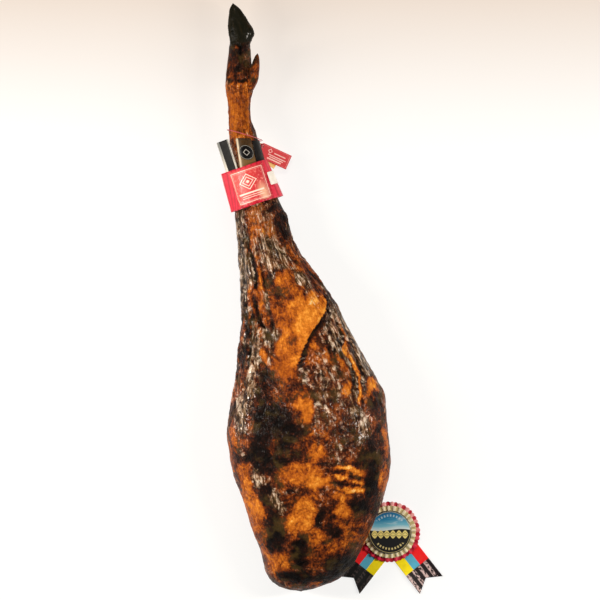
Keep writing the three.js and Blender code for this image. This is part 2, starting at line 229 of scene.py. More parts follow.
# ---------------------------------------------------------------- meshes
@dataclass
class Shell:
    """A mesh before Blender has it: points in mm, faces by point number, and a UV for each face corner."""

    points: Array
    quads: Array
    quad_uv: Array
    triangles: Array = field(default_factory=lambda: np.zeros((0, 3), int))
    triangle_uv: Array = field(default_factory=lambda: np.zeros((0, 3, 2)))

    def outward(self) -> "Shell":
        """The same shell with its faces pointing out: if the sum of the signed volumes between its faces
        and the origin is below zero, every face is turned round."""
        middle = self.points.mean(0)
        quad, tri = self.points[self.quads] - middle, self.points[self.triangles] - middle
        volume = sum(np.einsum("ij,ij->i", f[:, a], np.cross(f[:, b], f[:, c])).sum()
                     for f, a, b, c in ((quad, 0, 1, 2), (quad, 0, 2, 3), (tri, 0, 1, 2)))
        if volume >= 0:
            return self
        return Shell(self.points, self.quads[:, ::-1], self.quad_uv[:, ::-1],
                     self.triangles[:, ::-1], self.triangle_uv[:, ::-1])

    def in_chart(self, low: Pair, high: Pair) -> "Shell":
        """The same shell with its UVs moved into a rectangle of the map."""
        a, size = np.array(low), np.subtract(high, low)
        return Shell(self.points, self.quads, a + self.quad_uv * size,
                     self.triangles, a + self.triangle_uv * size)

    def mesh(self, name: str, uv_name: str) -> bpy.types.Mesh:
        """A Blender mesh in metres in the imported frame, shaded smooth."""
        mesh = bpy.data.meshes.new(name)
        place = (self.points + SHIFT) * MM
        corners = np.concatenate([self.quads.ravel(), self.triangles.ravel()]).astype(np.int32)
        totals = np.concatenate([np.full(len(self.quads), 4), np.full(len(self.triangles), 3)])
        starts = np.concatenate([[0], np.cumsum(totals)[:-1]]).astype(np.int32)
        mesh.vertices.add(len(place))
        mesh.vertices.foreach_set("co", place.astype(np.float32).ravel())
        mesh.loops.add(len(corners))
        mesh.loops.foreach_set("vertex_index", corners)
        mesh.polygons.add(len(totals))
        mesh.polygons.foreach_set("loop_start", starts)
        mesh.update(calc_edges=True)
        layer = mesh.uv_layers.new(name=uv_name)
        uv = np.concatenate([self.quad_uv.reshape(-1, 2), self.triangle_uv.reshape(-1, 2)])
        layer.data.foreach_set("uv", uv.astype(np.float32).ravel())
        mesh.polygons.foreach_set("use_smooth", np.ones(len(totals), bool))
        mesh.validate()
        return mesh


def grid_quads(rows: int, columns: int, wrap_rows: bool, wrap_columns: bool) -> tuple[Array, Array]:
    """Quads of a grid of rows x columns points, with the UV of their corners.

    Quad (i, j) joins points (i, j), (i, j+1), (i+1, j+1) and (i+1, j), counted on from the first
    again where the grid wraps. U runs over the columns and V over the rows, from 0 to 1.

    Args:
        rows, columns: points each way.
        wrap_rows, wrap_columns: whether the last row or column joins the first.

    Returns:
        Point numbers (n, 4) and UVs (n, 4, 2).
    """
    last_row, last_column = rows - (not wrap_rows), columns - (not wrap_columns)
    i, j = (a.ravel() for a in np.meshgrid(np.arange(last_row), np.arange(last_column), indexing="ij"))
    corner_i = np.stack([i, i, i + 1, i + 1], 1)
    corner_j = np.stack([j, j + 1, j + 1, j], 1)
    quads = (corner_i % rows) * columns + corner_j % columns
    uv = np.stack([corner_j / last_column, corner_i / last_row], -1)
    return quads, uv


def capped_tube(rings: Array, start: Array, end: Array) -> Shell:
    """A closed shell of rings of points with one pole point past each end.

    Args:
        rings: (rows, columns, 3), counter-clockwise as seen from past the last ring.
        start, end: the poles.

    Returns:
        The shell, facing outwards, with V from 0 at the start pole to 1 at the end pole.
    """
    rows, columns = rings.shape[:2]
    quads, uv = grid_quads(rows, columns, False, True)
    uv = uv * [1, (rows - 1) / (rows + 1)] + [0, 1 / (rows + 1)]
    first, last = rows * columns, rows * columns + 1
    j = np.arange(columns)
    after = (j + 1) % columns
    low = np.stack([np.full(columns, first), after, j], 1)
    high = np.stack([np.full(columns, last), (rows - 1) * columns + j, (rows - 1) * columns + after], 1)
    edge = 1 / (rows + 1)
    u0, u1, um = j / columns, (j + 1) / columns, (j + 0.5) / columns
    low_uv = np.stack([np.stack([um, 0 * um], 1), np.stack([u1, 0 * um + edge], 1),
                       np.stack([u0, 0 * um + edge], 1)], 1)
    high_uv = np.stack([np.stack([um, 0 * um + 1], 1), np.stack([u0, 0 * um + 1 - edge], 1),
                        np.stack([u1, 0 * um + 1 - edge], 1)], 1)
    return Shell(np.vstack([rings.reshape(-1, 3), start, end]), quads, uv,
                 np.vstack([low, high]), np.concatenate([low_uv, high_uv])).outward()


def ring_shell(points: Array) -> Shell:
    """A closed ring facing outwards: a grid that wraps both ways."""
    rows, columns = points.shape[:2]
    return Shell(points.reshape(-1, 3), *grid_quads(rows, columns, True, True)).outward()


def slab(top: Array, bottom: Array) -> Shell:
    """A closed sheet between two grids of the same size, with walls round its edge.

    Args:
        top: (rows, columns, 3), its faces seen from above going counter-clockwise.
        bottom: the grid under it.

    Returns:
        The shell, facing outwards. The top keeps the whole UV square and the bottom lies mirrored beside
        it, in U from 1 to 2; the walls take the colour of the edge.
    """
    rows, columns = top.shape[:2]
    quads, uv = grid_quads(rows, columns, False, False)
    under = quads[:, ::-1] + rows * columns
    under_uv = uv[:, ::-1] * [-1, 1] + [2, 0]
    i, j = np.arange(rows), np.arange(columns)
    rim = np.concatenate([j, (i[1:]) * columns + columns - 1, (rows - 1) * columns + j[::-1][1:],
                          i[::-1][1:-1] * columns])
    after = np.roll(rim, -1)
    walls = np.stack([after, rim, rim + rows * columns, after + rows * columns], 1)
    flat = np.stack([(rim % columns) / (columns - 1), (rim // columns) / (rows - 1)], 1)
    next_flat = np.roll(flat, -1, 0)
    wall_uv = np.stack([next_flat, flat, flat, next_flat], 1)
    return Shell(np.vstack([top.reshape(-1, 3), bottom.reshape(-1, 3)]), np.vstack([quads, under, walls]),
                 np.concatenate([uv, under_uv, wall_uv])).outward()


def grid_normals(points: Array, wrap_columns: bool = False) -> Array:
    """The unit normals of a grid: the cross product of its differences along columns and rows."""
    if wrap_columns:
        across = np.roll(points, -1, 1) - np.roll(points, 1, 1)
    else:
        across = np.gradient(points, axis=1)
    return unit(np.cross(across, np.gradient(points, axis=0)))


def sheet_shell(middle: Array, thickness: float) -> Shell:
    """A closed sheet half the thickness to each side of a grid."""
    normal = grid_normals(middle) * thickness / 2
    return slab(middle + normal, middle - normal)


def grid(rows: int, columns: int) -> tuple[Array, Array]:
    """Two parameters over a grid: u along the columns and v along the rows, both from 0 to 1."""
    v, u = np.meshgrid(np.linspace(0, 1, rows), np.linspace(0, 1, columns), indexing="ij")
    return u, v


class Slot(Enum):
    """The record's material slots."""

    RIND = "cured_rind"
    RED_CARD = "red_card"
    LABEL = "label_card"
    WHITE_CARD = "white_card"
    BLACK_CARD = "black_card"
    FILM = "amber_film"
    GOLD_CARD = "gold_card"
    STRING = "red_string"
    STRIPED = "striped_ribbon"
    RED_RIBBON = "red_ribbon"
    CREAM_RIBBON = "cream_ribbon"
    BUTTON = "button_card"


class Finish(Protocol):
    """Anything that can make a material."""

    def material(self) -> Material:
        """The finish's material."""


def in_scene(name: str, data: bpy.types.ID) -> bpy.types.Object:
    """A new object of the scene, at the origin."""
    made = bpy.data.objects.new(name, data)
    bpy.context.scene.collection.objects.link(made)
    return made


def add_piece(name: str, data: bpy.types.ID, material: Material, slot: Slot,
              *nodes: str) -> bpy.types.Object:
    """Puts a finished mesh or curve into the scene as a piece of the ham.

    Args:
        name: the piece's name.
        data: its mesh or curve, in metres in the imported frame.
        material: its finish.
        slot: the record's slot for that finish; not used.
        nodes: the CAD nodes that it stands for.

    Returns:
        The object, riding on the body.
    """
    piece = in_scene(name, data)
    data.materials.append(material)
    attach(piece, BODY)
    if nodes:
        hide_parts(*nodes)
    faces = len(data.polygons) if isinstance(data, bpy.types.Mesh) else 0
    log.info("%s: %d faces", name, faces)
    return piece


def add_shell(name: str, shell: Shell, finish: Finish, slot: Slot, *nodes: str,
              uv_name: str = PRINT_MAP) -> bpy.types.Object:
    """Puts a shell into the scene as a piece of the ham.

    Args:
        name: the piece's name, which its mesh takes too.
        shell: its shape.
        finish: what it is covered with.
        slot: the record's slot for that finish.
        nodes: the CAD nodes that it stands for.
        uv_name: the name of its map.

    Returns:
        The object, riding on the body.
    """
    return add_piece(name, shell.mesh(name, uv_name), finish.material(), slot, *nodes)


def applied(piece: bpy.types.Object) -> None:
    """Bakes the piece's modifiers into its mesh."""
    graph = bpy.context.evaluated_depsgraph_get()
    made = bpy.data.meshes.new_from_object(piece.evaluated_get(graph), preserve_all_data_layers=True,
                                           depsgraph=graph)
    piece.modifiers.clear()
    piece.data = made


# ---------------------------------------------------------------- materials
def tint(red: int, green: int, blue: int) -> Ink:
    """A colour given in screen values from 0 to 255, as the linear colour that shaders use."""
    c = np.array([red, green, blue]) / 255
    linear = np.where(c <= 0.04045, c / 12.92, ((c + 0.055) / 1.055) ** 2.4)
    return (*linear.tolist(), 1.0)


class Graph:
    """One material's nodes, ending in a single shader."""

    def __init__(self, name: str, constants: dict[str, float | tuple[float, ...]]) -> None:
        """Makes the material.

        Args:
            name: the material's name.
            constants: the shader's sockets that are the same all over.
        """
        self.material = bpy.data.materials.new(name)
        self.material.use_nodes = True
        self.tree = self.material.node_tree
        self.tree.nodes.clear()
        output = self.tree.nodes.new("ShaderNodeOutputMaterial")
        self.shader = self.tree.nodes.new("ShaderNodeBsdfPrincipled")
        self.tree.links.new(self.shader.outputs["BSDF"], output.inputs["Surface"])
        for socket, value in constants.items():
            self.shader.inputs[socket].default_value = value

    def node(self, kind: str, inputs: dict[str | int, Value], **settings: object) -> bpy.types.Node:
        """A node with its settings and inputs, each input a number, a colour or another node's socket."""
        made = self.tree.nodes.new("ShaderNode" + kind)
        for key, value in settings.items():
            setattr(made, key, value)
        for key, value in inputs.items():
            if isinstance(value, Socket):
                self.tree.links.new(value, made.inputs[key])
            else:
                made.inputs[key].default_value = value
        return made

    def math(self, operation: str, *values: Value, clamp: bool = False) -> Socket:
        """A Math node."""
        return self.node("Math", dict(enumerate(values)), operation=operation, use_clamp=clamp).outputs[0]

    def times(self, a: Value, b: Value) -> Socket:
        """The product of two values."""
        return self.math("MULTIPLY", a, b)

    def total(self, *values: Value) -> Socket:
        """The sum of several values."""
        result = values[0]
        for value in values[1:]:
            result = self.math("ADD", result, value)
        return result

    def scaled(self, value: Value, by: float, less: float = 0.0) -> Socket:
        """(value - less) x by."""
        return self.times(self.math("SUBTRACT", value, less), by)

    def largest(self, *values: Value) -> Socket:
        """The largest of several values."""
        result = values[0]
        for value in values[1:]:
            result = self.math("MAXIMUM", result, value)
        return result

    def mix(self, share: Value, a: object, b: object) -> Socket:
        """Two colours mixed by a share."""
        return self.node("Mix", {0: share, 6: a, 7: b}, data_type="RGBA").outputs[2]

    def ramp(self, value: Value, *stops: tuple[float, int, int, int]) -> Socket:
        """A colour ramp with stops of place, red, green and blue, in screen values."""
        made = self.node("ValToRGB", {0: value})
        elements = made.color_ramp.elements
        while len(elements) < len(stops):
            elements.new(0.5)
        for element, (place, *colour) in zip(elements, stops):
            element.position = place
            element.color = tint(*colour)
        return made.outputs[0]

    def fit(self, value: Value, low: float, high: float, to_low: float = 0.0,
            to_high: float = 1.0) -> Socket:
        """A smooth step from to_low at low to to_high at high."""
        made = self.node("MapRange", {0: value, 1: low, 2: high, 3: to_low, 4: to_high},
                         interpolation_type="SMOOTHSTEP")
        return made.outputs[0]

    def point(self, stretch: Triple = (1, 1, 1), centre: Array | None = None, turn: float = 0.0) -> Socket:
        """Object coordinates.

        Args:
            stretch: how much longer a pattern is along each axis.
            centre: the point, in metres, that becomes zero.
            turn: degrees that the axes are turned about z.

        Returns:
            The coordinates, in metres.
        """
        source = self.node("TexCoord", {}).outputs["Object"]
        if centre is not None:
            source = self.node("Mapping", {0: source, 1: tuple(-np.asarray(centre, float))}).outputs[0]
        if turn:
            source = self.node("Mapping", {0: source, 2: (0.0, 0.0, -math.radians(turn))}).outputs[0]
        if stretch != (1, 1, 1):
            source = self.node("Mapping", {0: source, 3: tuple(1 / s for s in stretch)}).outputs[0]
        return source

    def axes(self, vector: Socket) -> tuple[Socket, ...]:
        """The x, y and z of a vector."""
        return tuple(self.node("SeparateXYZ", {0: vector}).outputs)

    def uv(self) -> tuple[Socket, Socket]:
        """The U and V of a card's or ribbon's own map."""
        return self.axes(self.node("UVMap", {}, uv_map=PRINT_MAP).outputs[0])[:2]

    def uv_point(self, width: float, height: float, name: str = PRINT_MAP) -> Socket:
        """The piece's own map scaled to a size in metres, for patterns that follow the surface."""
        return self.node("Mapping", {0: self.node("UVMap", {}, uv_map=name).outputs[0],
                                     3: (width, height, 1.0)}).outputs[0]

    def attribute(self, name: str) -> Socket:
        """A number kept on the mesh's points."""
        return self.node("Attribute", {}, attribute_name=name, attribute_type="GEOMETRY").outputs["Fac"]

    def noise(self, vector: Socket, size: float, detail: float = 4.0, roughness: float = 0.55,
              distortion: float = 0.0) -> Socket:
        """Noise about 0.5, with lumps of a size in mm."""
        return self.node("TexNoise", {"Vector": vector, "Scale": 1 / (size * MM), "Detail": detail,
                                      "Roughness": roughness, "Distortion": distortion}).outputs[0]

    def cells(self, vector: Socket, size: float) -> Socket:
        """The distance pattern of cells of a size in mm."""
        return self.node("TexVoronoi", {"Vector": vector, "Scale": 1 / (size * MM)}).outputs[0]

    def between(self, value: Value, low: float, high: float, edge: float) -> Socket:
        """1 where a value lies between two limits, with soft edges."""
        rise = self.fit(value, low - edge, low + edge)
        fall = self.fit(value, high - edge, high + edge, 1.0, 0.0)
        return self.times(rise, fall)

    def rectangle(self, x: Value, y: Value, low: Pair, high: Pair, edge: float) -> Socket:
        """1 inside a rectangle of two coordinates."""
        return self.times(self.between(x, low[0], high[0], edge), self.between(y, low[1], high[1], edge))

    def outline(self, x: Value, y: Value, low: Pair, high: Pair, line: float, edge: float) -> Socket:
        """1 on a line just inside the edge of a rectangle."""
        inner_low, inner_high = (low[0] + line, low[1] + line), (high[0] - line, high[1] - line)
        return self.math("SUBTRACT", self.rectangle(x, y, low, high, edge),
                         self.rectangle(x, y, inner_low, inner_high, edge), clamp=True)

    def radius(self, x: Value, y: Value, centre: Pair, stretch: float = 1.0) -> Socket:
        """How far two coordinates are from a centre, y first divided by stretch."""
        dx = self.math("SUBTRACT", x, centre[0])
        dy = self.math("DIVIDE", self.math("SUBTRACT", y, centre[1]), stretch)
        squares = (self.times(d, d) for d in (dx, dy))
        return self.math("SQRT", self.math("ADD", *squares))

    def lozenge(self, x: Value, y: Value, centre: Pair) -> Socket:
        """The sum of the distances along both axes, which is the same all along a lozenge."""
        dx = self.math("ABSOLUTE", self.math("SUBTRACT", x, centre[0]))
        dy = self.math("ABSOLUTE", self.math("SUBTRACT", y, centre[1]))
        return self.math("ADD", dx, dy)

    def bump(self, height: Socket, depth: float, strength: float = 1.0) -> Socket:
        """A bumped normal: height 1 stands depth mm above height 0."""
        return self.node("Bump", {"Height": height, "Distance": depth * MM, "Strength": strength}).outputs[0]

    def done(self, **sockets: Socket) -> Material:
        """Links the shader's sockets, given with _ for a space, and returns the material."""
        for key, value in sockets.items():
            self.tree.links.new(value, self.shader.inputs[key.replace("_", " ")])
        return self.material


@dataclass(frozen=True)
class Rind:
    """Cured skin and fat: amber where it is clean, brown-black where it has darkened, grey and dried where
    it is dusted, with pale specks there that are partly painted glints of light, and with oil on it in
    places. The mesh says where, and noise breaks the edges up."""

    # the patterns' sizes, mm
    drift: float = 30.0
    mottle: float = 9.0
    grain: float = 3.2
    pit: float = 2.6
    crest: float = 6.5
    strand: float = 5.5
    streak: float = 4.2
    speck: float = 2.2
    skin_bump: float = 1.6
    oil_bump: float = 1.8
    oil: float = 0.85  # the weight of the oil coat in the greasiest places
    least_oil: float = 0.04
    map_size: Pair = (0.42, 0.26)  # metres of streak pattern round the leg and along it

    def clean(self, g: Graph, value: Value) -> Socket:
        """Clean skin by its tone, from black over brown and amber to pale fat, greenish in dark places."""
        skin = g.ramp(value, (0.0, 9, 5, 4), (0.2, 32, 15, 9), (0.32, 62, 27, 13), (0.42, 104, 46, 16),
                      (0.52, 150, 72, 19), (0.64, 188, 101, 26), (0.76, 216, 128, 38),
                      (0.88, 238, 164, 62), (1.0, 248, 206, 128))
        mould = g.times(g.fit(g.noise(g.point(), 21, 3), 0.5, 0.68), g.fit(value, 0.62, 0.3))
        return g.mix(g.times(mould, 0.55), skin, tint(80, 62, 28))

    def dry_and_glints(self, g: Graph, mottle: Value, crumb_and_glint: Value, strand: Value) -> Socket:
        """Dried skin: strands and crumbs from near black to a pale grey powdering, with green-brown clouds;
        the palest strands and crumbs are partly painted glints of light.
        """
        # the pale stops are partly painted glints of light on the dried skin
        bloom_and_glints = g.ramp(g.total(g.scaled(mottle, 0.9, 0.5), crumb_and_glint, g.scaled(strand, 1.7, 0.5), 0.5),
                       (0.24, 12, 8, 5), (0.4, 56, 35, 20), (0.52, 114, 82, 52), (0.65, 172, 140, 110),
                       (0.8, 240, 218, 192))
        cloud = g.scaled(g.fit(g.noise(g.point(), 17, 3), 0.5, 0.7), 0.4)
        return g.mix(cloud, bloom_and_glints, tint(92, 74, 34))

    def material(self) -> Material:
        """The whole ham's material."""
        g = Graph("cured_rind", {"Coat Roughness": 0.12, "Coat IOR": 1.5, "Specular IOR Level": 0.04})
        p = g.point()
        along = g.uv_point(*self.map_size, SKIN_MAP)
        blotch = g.noise(p, self.drift, 6, 0.62, 1.0)
        mottle = g.noise(p, self.mottle, 6, 0.68, 0.8)
        grain = g.noise(p, self.grain, 3, 0.55)
        streak = g.noise(along, self.streak, 5, 0.62, 0.5)
        strand = g.noise(along, self.strand, 3, 0.55, 0.8)
        speck = g.fit(g.noise(along, self.speck, 2, 0.5, 0.3), 0.34, 0.66)
        tone, dust = g.attribute("tone"), g.attribute("dust")
        fibres, horn = g.attribute("fibres"), g.attribute("horn")

        # colour: clean skin, dried skin over it where it is dusted, its palest specks partly painted glints,
        # and horn over both
        lively = g.fit(g.attribute("calm"), 0.0, 1.0, 1.0, 0.35)
        change = g.total(g.scaled(blotch, 1.0, 0.5), g.scaled(mottle, 0.9, 0.5), g.scaled(grain, 0.45, 0.5),
                         g.scaled(speck, 0.1, 0.5), g.times(fibres, g.scaled(streak, 0.7, 0.5)))
        skin = self.clean(g, g.math("MULTIPLY_ADD", change, lively, tone))
        crumb_and_glint = g.times(g.scaled(g.noise(along, self.speck, 4, 0.65, 0.2), 1.0, 0.5),
                        g.fit(dust, 0.25, 0.7, 0.3, 1.0))
        dust_and_glint_share = g.fit(g.total(dust, g.scaled(mottle, 1.6, 0.5)), 0.3, 0.7)
        skin = g.mix(g.times(dust_and_glint_share, 0.8), skin, self.dry_and_glints(g, mottle, crumb_and_glint, strand))
        keratin = g.ramp(g.total(g.scaled(streak, 0.9), g.scaled(blotch, 0.3, 0.5)),
                         (0.2, 9, 10, 6), (0.5, 24, 22, 13), (0.8, 62, 40, 24))
        roughness = g.total(g.fit(mottle, 0.3, 0.7, 0.3, 0.5), g.scaled(dust_and_glint_share, 0.06), g.scaled(horn, -0.05))

        # the skin's fine relief, and the smoother one of the oil on it; both are faint on horn
        soft = g.fit(horn, 0.0, 1.0, 1.0, 0.25)
        pits = g.fit(g.cells(p, self.pit), 0.0, 0.55)
        height = g.total(g.scaled(mottle, 2.0), g.scaled(grain, 0.8), g.scaled(pits, 0.2),
                         g.scaled(streak, 0.9), g.times(fibres, g.scaled(strand, 2.0)))
        crests = g.math("ABSOLUTE", g.scaled(g.noise(along, self.crest, 2, 0.5, 0.6), 2.0, 0.5))
        oiled = g.total(g.scaled(crests, -0.7), g.scaled(speck, 0.1), g.scaled(strand, 1.0))

        # oil: thick in greasy places, where the skin is dusted and has painted glints, and almost none
        # elsewhere, least of all on horn
        greasy = g.times(g.fit(g.total(dust, g.scaled(blotch, 1.0, 0.5)), 0.2, 0.6, 0.0, self.oil),
                         g.fit(g.total(g.scaled(mottle, 0.4), g.scaled(streak, 0.6)), 0.48, 0.56))
        film = g.math("MULTIPLY_ADD", horn, -0.03, g.total(greasy, self.least_oil))
        return g.done(Base_Color=g.mix(horn, skin, keratin), Roughness=roughness, Coat_Weight=film,
                      Normal=g.bump(g.times(height, soft), self.skin_bump),
                      Coat_Normal=g.bump(g.times(oiled, soft), self.oil_bump))


@dataclass(frozen=True)
class Card:
    """Plain printed card or paper: an even ink with a faint mottle over fine fibres. Gloss is the weight of
    a clear coat, and shine the strength of the plain reflection."""

    name: str
    ink: Ink
    worn: Ink
    roughness: float = 0.5
    gloss: float = 0.0
    shine: float = 0.3

    def start(self) -> tuple[Graph, Socket, Socket]:
        """The graph, its plain ink and its fibre bump, for cards that print more on it."""
        g = Graph(self.name, {"Coat Weight": self.gloss, "Coat Roughness": 0.12,
                              "Specular IOR Level": self.shine})
        p = g.point()
        cloud = g.noise(p, 14, 4)
        fibre = g.noise(g.point(stretch=(1, 4, 1), turn=18), 0.5, 3)
        ink = g.mix(g.fit(g.total(cloud, g.scaled(fibre, 0.5, 0.5)), 0.42, 0.8), self.ink, self.worn)
        return g, ink, g.bump(g.total(fibre, g.scaled(cloud, 2.0)), 0.12, 0.5)

    def close(self, g: Graph, colour: Socket, normal: Socket) -> Material:
        """Finishes a card with its colour and a roughness that varies a little."""
        rough = g.fit(g.noise(g.point(), 9, 3), 0.3, 0.7, self.roughness - 0.06, self.roughness + 0.06)
        return g.done(Base_Color=colour, Roughness=rough, Normal=normal)

    def material(self) -> Material:
        """The plain card."""
        return self.close(*self.start())


@dataclass(frozen=True)
class BandPrint(Card):
    """The band's card: crimson, scuffed at its cut edges, with a painted highlight along the crease."""

    def material(self) -> Material:
        """Crimson with darker stripes up its height; U runs up its outer face and down its inner one, and
        V round it."""
        g, ink, normal = self.start()
        height, turn = g.uv()
        pattern = g.math("FRACT", g.times(turn, 23.0))
        ink = g.mix(g.scaled(g.between(pattern, 0.1, 0.42, 0.05), 0.5), ink, tint(136, 8, 26))
        # a painted highlight, pale pink, along the crease where the card is folded
        crease = g.total(g.fit(turn, 0.0, 0.012, 1.0, 0.0), g.fit(turn, 0.988, 1.0))
        ink = g.mix(g.scaled(crease, 0.7), ink, tint(236, 130, 130))
        scuffed = g.times(g.fit(g.noise(g.point(), 2.5, 4), 0.52, 0.62), 0.5)
        edge = g.total(g.fit(height, 0.0, 0.02, 1.0, 0.0), g.fit(height, 0.48, 0.5))
        ink = g.mix(g.times(edge, scuffed), ink, tint(240, 200, 196))
        return self.close(g, ink, normal)


@dataclass(frozen=True)
class LabelPrint(Card):
    """The square label: warm red with two pale frames, a plain lozenge in rings and three rules."""

    def material(self) -> Material:
        """The label, with a painted highlight of glare towards its lower right corner."""
        g, ink, normal = self.start()
        u, v = g.uv()
        ink = g.mix(g.fit(g.total(u, g.scaled(v, -0.5)), -0.4, 1.0), tint(210, 70, 62), tint(184, 20, 44))
        ink = g.mix(g.fit(g.noise(g.point(), 3.2, 4, 0.6), 0.5, 0.72), ink, tint(234, 128, 118))
        # a painted highlight: pale glare towards the lower right corner
        painted_glare = g.times(g.fit(g.radius(u, v, (0.8, 0.2), 2.2), 0.02, 0.2, 1.0, 0.0), 0.7)
        ink = g.mix(painted_glare, ink, tint(238, 196, 158))
        pale = tint(244, 226, 208)
        frame_line = g.outline(u, v, (0.045, 0.045), (0.955, 0.955), 0.014, 0.003)
        inner_line = g.outline(u, v, (0.085, 0.085), (0.915, 0.915), 0.006, 0.002)
        d = g.lozenge(u, v, (0.5, 0.62))
        shape = (g.between(d, 0.205, 0.235, 0.004), g.between(d, 0.12, 0.145, 0.004),
                 g.fit(d, 0.045, 0.055, 1.0, 0.0))
        rules = (g.rectangle(u, v, (0.5 - half, level - thick), (0.5 + half, level + thick), 0.003)
                 for level, half, thick in ((0.3, 0.34, 0.022), (0.225, 0.26, 0.008), (0.17, 0.3, 0.008)))
        marks = g.largest(frame_line, *rules, *shape, g.scaled(inner_line, 0.6))
        return self.close(g, g.mix(g.scaled(marks, 0.85), ink, pale), normal)


@dataclass(frozen=True)
class TagPrint(Card):
    """The swing tag: red with a thin pale frame, four pale rules and a plain lozenge."""

    def material(self) -> Material:
        """The tag."""
        g, ink, normal = self.start()
        u, v = g.uv()
        frame_line = g.outline(u, v, (0.03, 0.07), (0.97, 0.93), 0.006, 0.003)
        rules = (g.rectangle(u, v, (start, level - thick), (end, level + thick), 0.006)
                 for level, start, end, thick in ((0.66, 0.5, 0.86, 0.035), (0.46, 0.34, 0.9, 0.03),
                                                  (0.34, 0.4, 0.84, 0.03), (0.2, 0.36, 0.8, 0.045)))
        d = g.lozenge(u, g.scaled(v, 0.4), (0.37, 0.28))
        marks = g.largest(frame_line, *rules, g.between(d, 0.045, 0.07, 0.004))
        ink = g.mix(g.scaled(marks, 0.75), ink, tint(250, 216, 204))
        return self.close(g, ink, normal)


@dataclass(frozen=True)
class FilmPrint(Card):
    """The glossy film label: brown running to gold, with a black disc in a silver ring."""

    def material(self) -> Material:
        """The film."""
        g, ink, normal = self.start()
        u, v = g.uv()
        ink = g.mix(g.fit(v, 0.95, 0.2, 0.0, 0.8), ink, tint(122, 92, 52))
        ink = g.mix(g.scaled(g.between(u, 0.02, 0.14, 0.06), 0.85), ink, tint(212, 192, 158))
        r = g.radius(u, v, (0.54, 0.62), 0.45)
        ink = g.mix(g.fit(r, 0.44, 0.46, 1.0, 0.0), ink, tint(8, 7, 7))
        ink = g.mix(g.scaled(g.between(r, 0.4, 0.415, 0.008), 0.8), ink, tint(190, 184, 172))
        mark = g.lozenge(u, g.scaled(v, 2.2), (0.54, 1.364))
        ink = g.mix(g.scaled(g.between(mark, 0.16, 0.2, 0.012), 0.8), ink, tint(200, 194, 184))
        band = g.rectangle(u, v, (0.0, 0.1), (1.0, 0.15), 0.006)
        return self.close(g, g.mix(g.scaled(band, 0.7), ink, tint(208, 176, 112)), normal)


@dataclass(frozen=True)
class CoverPrint(Card):
    """The leaflet's cover: black with a pale margin down its left side and a thin one on its right."""

    def material(self) -> Material:
        """The cover."""
        g, ink, normal = self.start()
        u, v = g.uv()
        margin = g.largest(g.fit(u, 0.2, 0.23, 1.0, 0.0), g.fit(u, 0.93, 0.95))
        pale = g.mix(g.fit(v, 0.1, 0.9), tint(214, 206, 192), tint(122, 122, 118))
        return self.close(g, g.mix(margin, ink, pale), normal)


@dataclass(frozen=True)
class ButtonPrint:
    """The rosette's button: a blue sky running to pale over black, a gold chain across it and beads
    round its edge."""

    centre: Array
    radius: float

    def material(self) -> Material:
        """The button."""
        g = Graph("button_print", {"Coat Weight": 0.8, "Coat Roughness": 0.06, "Roughness": 0.3})
        x, y, _ = g.axes(g.point(centre=self.centre))
        x, y = (g.math("DIVIDE", c, self.radius * MM) for c in (x, y))
        hill = g.math("SINE", g.times(x, 3.1))
        level = g.math("SUBTRACT", y, g.total(g.scaled(hill, 0.05), 0.1))
        sky = g.ramp(level, (0.0, 226, 236, 232), (0.2, 120, 190, 210), (0.5, 28, 132, 176),
                     (0.85, 16, 92, 142))
        haze = g.fit(g.noise(g.point(stretch=(3, 1, 1)), 5, 4), 0.5, 0.66)
        sky = g.mix(g.scaled(haze, 0.4), sky, tint(206, 226, 230))
        colour = g.mix(g.fit(level, -0.008, 0.008), tint(7, 7, 8), sky)
        link = g.math("ABSOLUTE", g.math("SINE", g.times(x, 11.2)))
        height = g.math("ABSOLUTE", g.math("SUBTRACT", y, -0.1))
        chain = g.fit(g.math("MULTIPLY_ADD", link, -0.16, height), 0.02, 0.035, 1.0, 0.0)
        hollow = g.between(g.math("MULTIPLY_ADD", link, -0.1, height), -0.035, -0.015, 0.008)
        chain = g.times(g.math("SUBTRACT", chain, hollow, clamp=True), g.between(x, -0.84, 0.84, 0.01))
        colour = g.mix(chain, colour, tint(238, 218, 128))
        r = g.radius(x, y, (0.0, 0.0))
        turn = g.math("ARCTAN2", y, x)
        beads = g.times(g.fit(g.math("SINE", g.times(turn, 34.0)), -0.1, 0.1),
                        g.between(r, 0.72, 0.82, 0.01))
        low = g.times(beads, g.fit(y, -0.5, -0.48, 1.0, 0.0))
        high = g.times(beads, g.fit(y, 0.5, 0.52))
        colour = g.mix(low, colour, tint(214, 196, 130))
        colour = g.mix(g.scaled(high, 0.6), colour, tint(210, 226, 228))
        colour = g.mix(g.between(r, 0.93, 0.95, 0.006), colour, tint(196, 178, 118))
        colour = g.mix(g.fit(r, 0.955, 0.965), colour, tint(38, 44, 40))
        speck = g.bump(g.noise(g.point(), 0.6, 2), 0.03, 0.4)
        return g.done(Base_Color=colour, Normal=speck)


